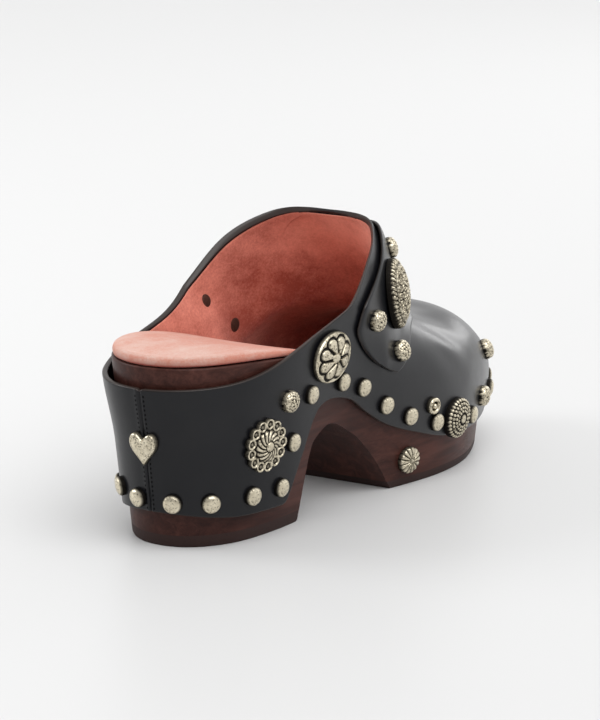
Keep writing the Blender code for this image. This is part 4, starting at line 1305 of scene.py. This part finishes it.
def seat_of(name):
    """Frame of a trim solid's flat back: Z out of the leather and Y up along it."""
    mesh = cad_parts[name].data
    normals = np.array([face.normal for face in mesh.polygons])
    areas = np.array([face.area for face in mesh.polygons])
    alike = normals @ normals.T > SAME_FACING
    back = int(np.argmax(alike @ areas))
    normal = -normals[back]
    corners = {i for j in np.flatnonzero(alike[back]) for i in mesh.polygons[int(j)].vertices}
    points = np.array([mesh.vertices[i].co for i in corners])
    up = np.array([0.0, 0.0, 1.0]) - normal * normal[2]
    up = up / np.linalg.norm(up)
    right = np.cross(up, normal)
    axes = np.stack([right, up, normal])
    local = points @ axes.T
    centre = axes.T @ (0.5 * (local.min(axis=0) + local.max(axis=0)))
    turned = Matrix((Vector(right), Vector(up), Vector(normal))).transposed().to_4x4()
    return Matrix.Translation(Vector(centre)) @ turned


def trim_mesh(name, kind, turned):
    """Closed plate with the kind's relief on its face and a straight rim down to its seat."""
    reach = np.linspace(0.0, 1.0, kind.rings + 1)[1:, None]
    angle = np.linspace(0.0, 2.0 * math.pi, kind.segments, endpoint=False)[None, :]
    height, bright, _ = np.broadcast_arrays(*kind.relief(reach, angle + turned), angle)
    # The outer ring keeps only rim_shine of its shine and the side wall goes dark: patina, and painted
    # shade where the plate meets the leather.
    bright = np.concatenate([bright[:-1], kind.rim_shine * bright[-1:]])
    if kind.relief is heart_relief:
        across, up = heart_outline(angle)
    else:
        edge = loop_outline(angle) if kind.relief is sunburst_relief else 1.0
        across, up = edge * np.cos(angle), edge * np.sin(angle)
    top = np.stack([kind.long / 2.0 * reach * across, kind.wide / 2.0 * reach * up, height], axis=-1)
    rim = top[-1].copy()
    rim[:, 2] = -SEAT_DEPTH
    middle, middle_bright = kind.relief(np.zeros((1, 1)), angle[:, :1])
    points = np.vstack([[[0.0, 0.0, middle[0, 0]]], top.reshape(-1, 3), rim])
    marks = [middle_bright[0, 0], *bright.ravel(), *np.zeros(kind.segments)]
    mesh = bpy.data.meshes.new(name)
    mesh.from_pydata((points * MM).tolist(), [], disc_faces(kind.rings, kind.segments))
    return mesh, {"patina_and_rim_shade": marks}


def build_trim():
    names = sorted(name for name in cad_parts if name.split("_")[0] in TRIM_KINDS)
    for order, name in enumerate(names):
        word = name.split("_")[0]
        kind = TRIM_KINDS[word]
        turned = TRIM_TURN * order if word in TURNED_KINDS else 0.0
        mesh, marks = trim_mesh(name + "_metal", kind, turned)
        piece = finish_piece(
            name + "_metal", mesh, kind.material, "silver", marks=marks, sharp=TRIM_SHARP_ANGLE
        )
        piece.matrix_world = seat_of(name)
        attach(piece, BODY)
        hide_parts(name)


# Stitches beside the back seam and rivets of the strap inside the upper.
STITCH_ROW = 1.75
STITCH_PITCH = 1.9
STITCH_LENGTH = 1.2
STITCH_WIDTH = 0.8
STITCH_PROUD = 0.12
STITCH_MARGIN = 1.6
RIVET_PLACES = ((99.6, 79.7), (118.7, 65.3))
RIVET_SIZE = 7.4
RIVET_PROUD = 0.45
TURN_STEP = 1e-3
CLIMB_STEP = 0.01


def surface_frame(side, turn, climb, push, facing):
    """Place on the leather: rows across, up the wall, and out of the face that is meant."""
    point = shell_point(side, turn, climb, push)
    before, after = (shell_point(side, turn + step, climb, push) for step in (-TURN_STEP, TURN_STEP))
    below, above = (shell_point(side, turn, climb + step, push) for step in (-CLIMB_STEP, CLIMB_STEP))
    normal = np.cross(after - before, above - below) * -side * facing
    normal = normal / np.linalg.norm(normal)
    up = (above - below) / np.linalg.norm(above - below)
    return point, np.stack([np.cross(up, normal), up, normal])


def pill(point, axes, width, length, height, rings=4, segments=10):
    """Points and faces of a flattened dome on a surface."""
    reach = np.linspace(0.0, 1.0, rings + 1)[1:, None]
    angle = np.linspace(0.0, 2.0 * math.pi, segments, endpoint=False)
    across = width / 2.0 * reach * np.cos(angle)
    along = length / 2.0 * reach * np.sin(angle)
    out = height * (2.0 * np.sqrt(1.0 - reach ** 2) - 1.0) + 0.0 * angle
    local = np.stack([across, along, out], axis=-1).reshape(-1, 3)
    return point + np.vstack([[0.0, 0.0, height], local]) @ axes, disc_faces(rings - 1, segments)


def join(parts):
    """One set of points and faces from several."""
    points = np.concatenate([part_points for part_points, _ in parts])
    faces = []
    start = 0
    for part_points, part_faces in parts:
        faces += [[start + i for i in face] for face in part_faces]
        start += len(part_points)
    return points, faces


def build_stitches():
    parts = []
    low = float(lower_edge(0.0)) + STITCH_MARGIN
    high = float(collar_height(0.0)) - STITCH_MARGIN
    turn = float(np.interp(STITCH_ROW, half_width(LEATHER_TURNS[:12]), LEATHER_TURNS[:12]))
    for side in SIDES:
        for height in np.arange(low, high, STITCH_PITCH):
            climb = climb_at_height(side, turn, height, OUTER_FACE)
            push = OUTER_FACE + seam_relief(turn) + float(rim_flare(side, turn, np.array([climb]))[0])
            place = surface_frame(side, turn, climb, push, 1.0)
            parts.append(pill(*place, STITCH_WIDTH, STITCH_LENGTH, STITCH_PROUD))
    add_piece("seam_stitches", *join(parts), THREAD, "leather")


def build_rivets():
    parts = []
    for along, height in RIVET_PLACES:
        turn, climb = place_at(INNER, along, height, INNER_FACE)
        place = surface_frame(INNER, turn, climb, INNER_FACE, -1.0)
        parts.append(pill(*place, RIVET_SIZE, RIVET_SIZE, RIVET_PROUD, rings=6, segments=28))
    add_piece("strap_rivets", *join(parts), RIVET, "silver")


# Camera of the photograph, worked out for a 600 by 720 image.
IMAGE_HEIGHT = 720.0
FOCAL_PIXELS = 3224.14
SENSOR = 36.0
CAMERA_PLACE = (-1.13182, -0.71353, 0.37326)
CAMERA_AIM = (0.82048, 0.52228, -0.23246)
CAMERA_ROLL = math.radians(-0.349)
CAMERA_NEAR = 0.05


def build_camera():
    data = bpy.data.cameras.new("photo_camera")
    data.sensor_fit = "VERTICAL"
    data.sensor_height = SENSOR
    data.lens = FOCAL_PIXELS / IMAGE_HEIGHT * SENSOR
    data.clip_start = CAMERA_NEAR
    camera = bpy.data.objects.new("photo_camera", data)
    bpy.context.scene.collection.objects.link(camera)
    aim = Vector(CAMERA_AIM).normalized()
    level_right = aim.cross(Vector((0.0, 0.0, 1.0))).normalized()
    level_up = level_right.cross(aim)
    right = level_right * math.cos(CAMERA_ROLL) + level_up * math.sin(CAMERA_ROLL)
    up = level_up * math.cos(CAMERA_ROLL) - level_right * math.sin(CAMERA_ROLL)
    turned = Matrix((right, up, -aim)).transposed().to_4x4()
    camera.matrix_world = Matrix.Translation(Vector(CAMERA_PLACE)) @ turned
    bpy.context.scene.camera = camera


# Studio: a white sweep behind the shoe, dimmer on the camera's side.
FLOOR_HALF = 6.0
FLOOR_COLOUR = (0.60, 0.60, 0.60, 1.0)
WHITE = (1.0, 1.0, 1.0, 1.0)
SWEEP_LIGHT = 1.02
CAMERA_SIDE_LIGHT = 0.34
SWEEP_TURNS = (-0.7, 0.7)
SOFTBOXES = table(
    "name place size power",
    ("toe_softbox", (1.5, -0.08, 0.6), 0.55, 2.6),
    ("left_softbox", (-0.6, 1.3, 0.8), 0.9, 10.0),
)
KEY_PLACE = (-0.7, -1.4, 2.9)
KEY_SPREAD = math.radians(60.0)
KEY_STRENGTH = 2.3
AIM_POINT = Vector((0.0, 0.0, 0.05))


def place_light(data, place):
    light = bpy.data.objects.new(data.name, data)
    bpy.context.scene.collection.objects.link(light)
    light.visible_camera = False
    light.location = place
    light.rotation_euler = (AIM_POINT - Vector(place)).to_track_quat("-Z", "Y").to_euler()


def build_floor():
    mesh = bpy.data.meshes.new("studio_floor")
    h = FLOOR_HALF
    mesh.from_pydata([(-h, -h, 0.0), (h, -h, 0.0), (h, h, 0.0), (-h, h, 0.0)], [], [(0, 1, 2, 3)])
    floor = bpy.data.objects.new("studio_floor", mesh)
    bpy.context.scene.collection.objects.link(floor)
    looks = {"Roughness": 0.4, "Base_Color": FLOOR_COLOUR, "Specular_IOR_Level": 0.25}
    mesh.materials.append(new_material("pale_floor", **looks)[0])


def build_studio():
    build_floor()
    world = bpy.data.worlds.new("studio_world")
    world.use_nodes = True
    sky = world.node_tree
    facing = node(sky, "SeparateXYZ", Vector=node(sky, "TexCoord").outputs["Generated"])
    glow = levels(sky, facing.outputs["X"], *SWEEP_TURNS, CAMERA_SIDE_LIGHT, SWEEP_LIGHT)
    set_sockets(sky, sky.nodes["Background"], {"Color": WHITE, "Strength": glow})
    bpy.context.scene.world = world
    bpy.context.scene.view_settings.view_transform = "Standard"
    key = bpy.data.lights.new("key_light", "SUN")
    key.angle = KEY_SPREAD
    key.energy = KEY_STRENGTH
    place_light(key, KEY_PLACE)
    for box in SOFTBOXES:
        data = bpy.data.lights.new(box.name, "AREA")
        data.shape = "DISK"
        data.size = box.size
        data.energy = box.power
        place_light(data, box.place)


def main():
    build_camera()
    build_studio()
    build_wood()
    build_floor_pieces()
    build_insole()
    build_upper()
    build_lining()
    build_strap()
    build_trim()
    build_stitches()
    build_rivets()


main()
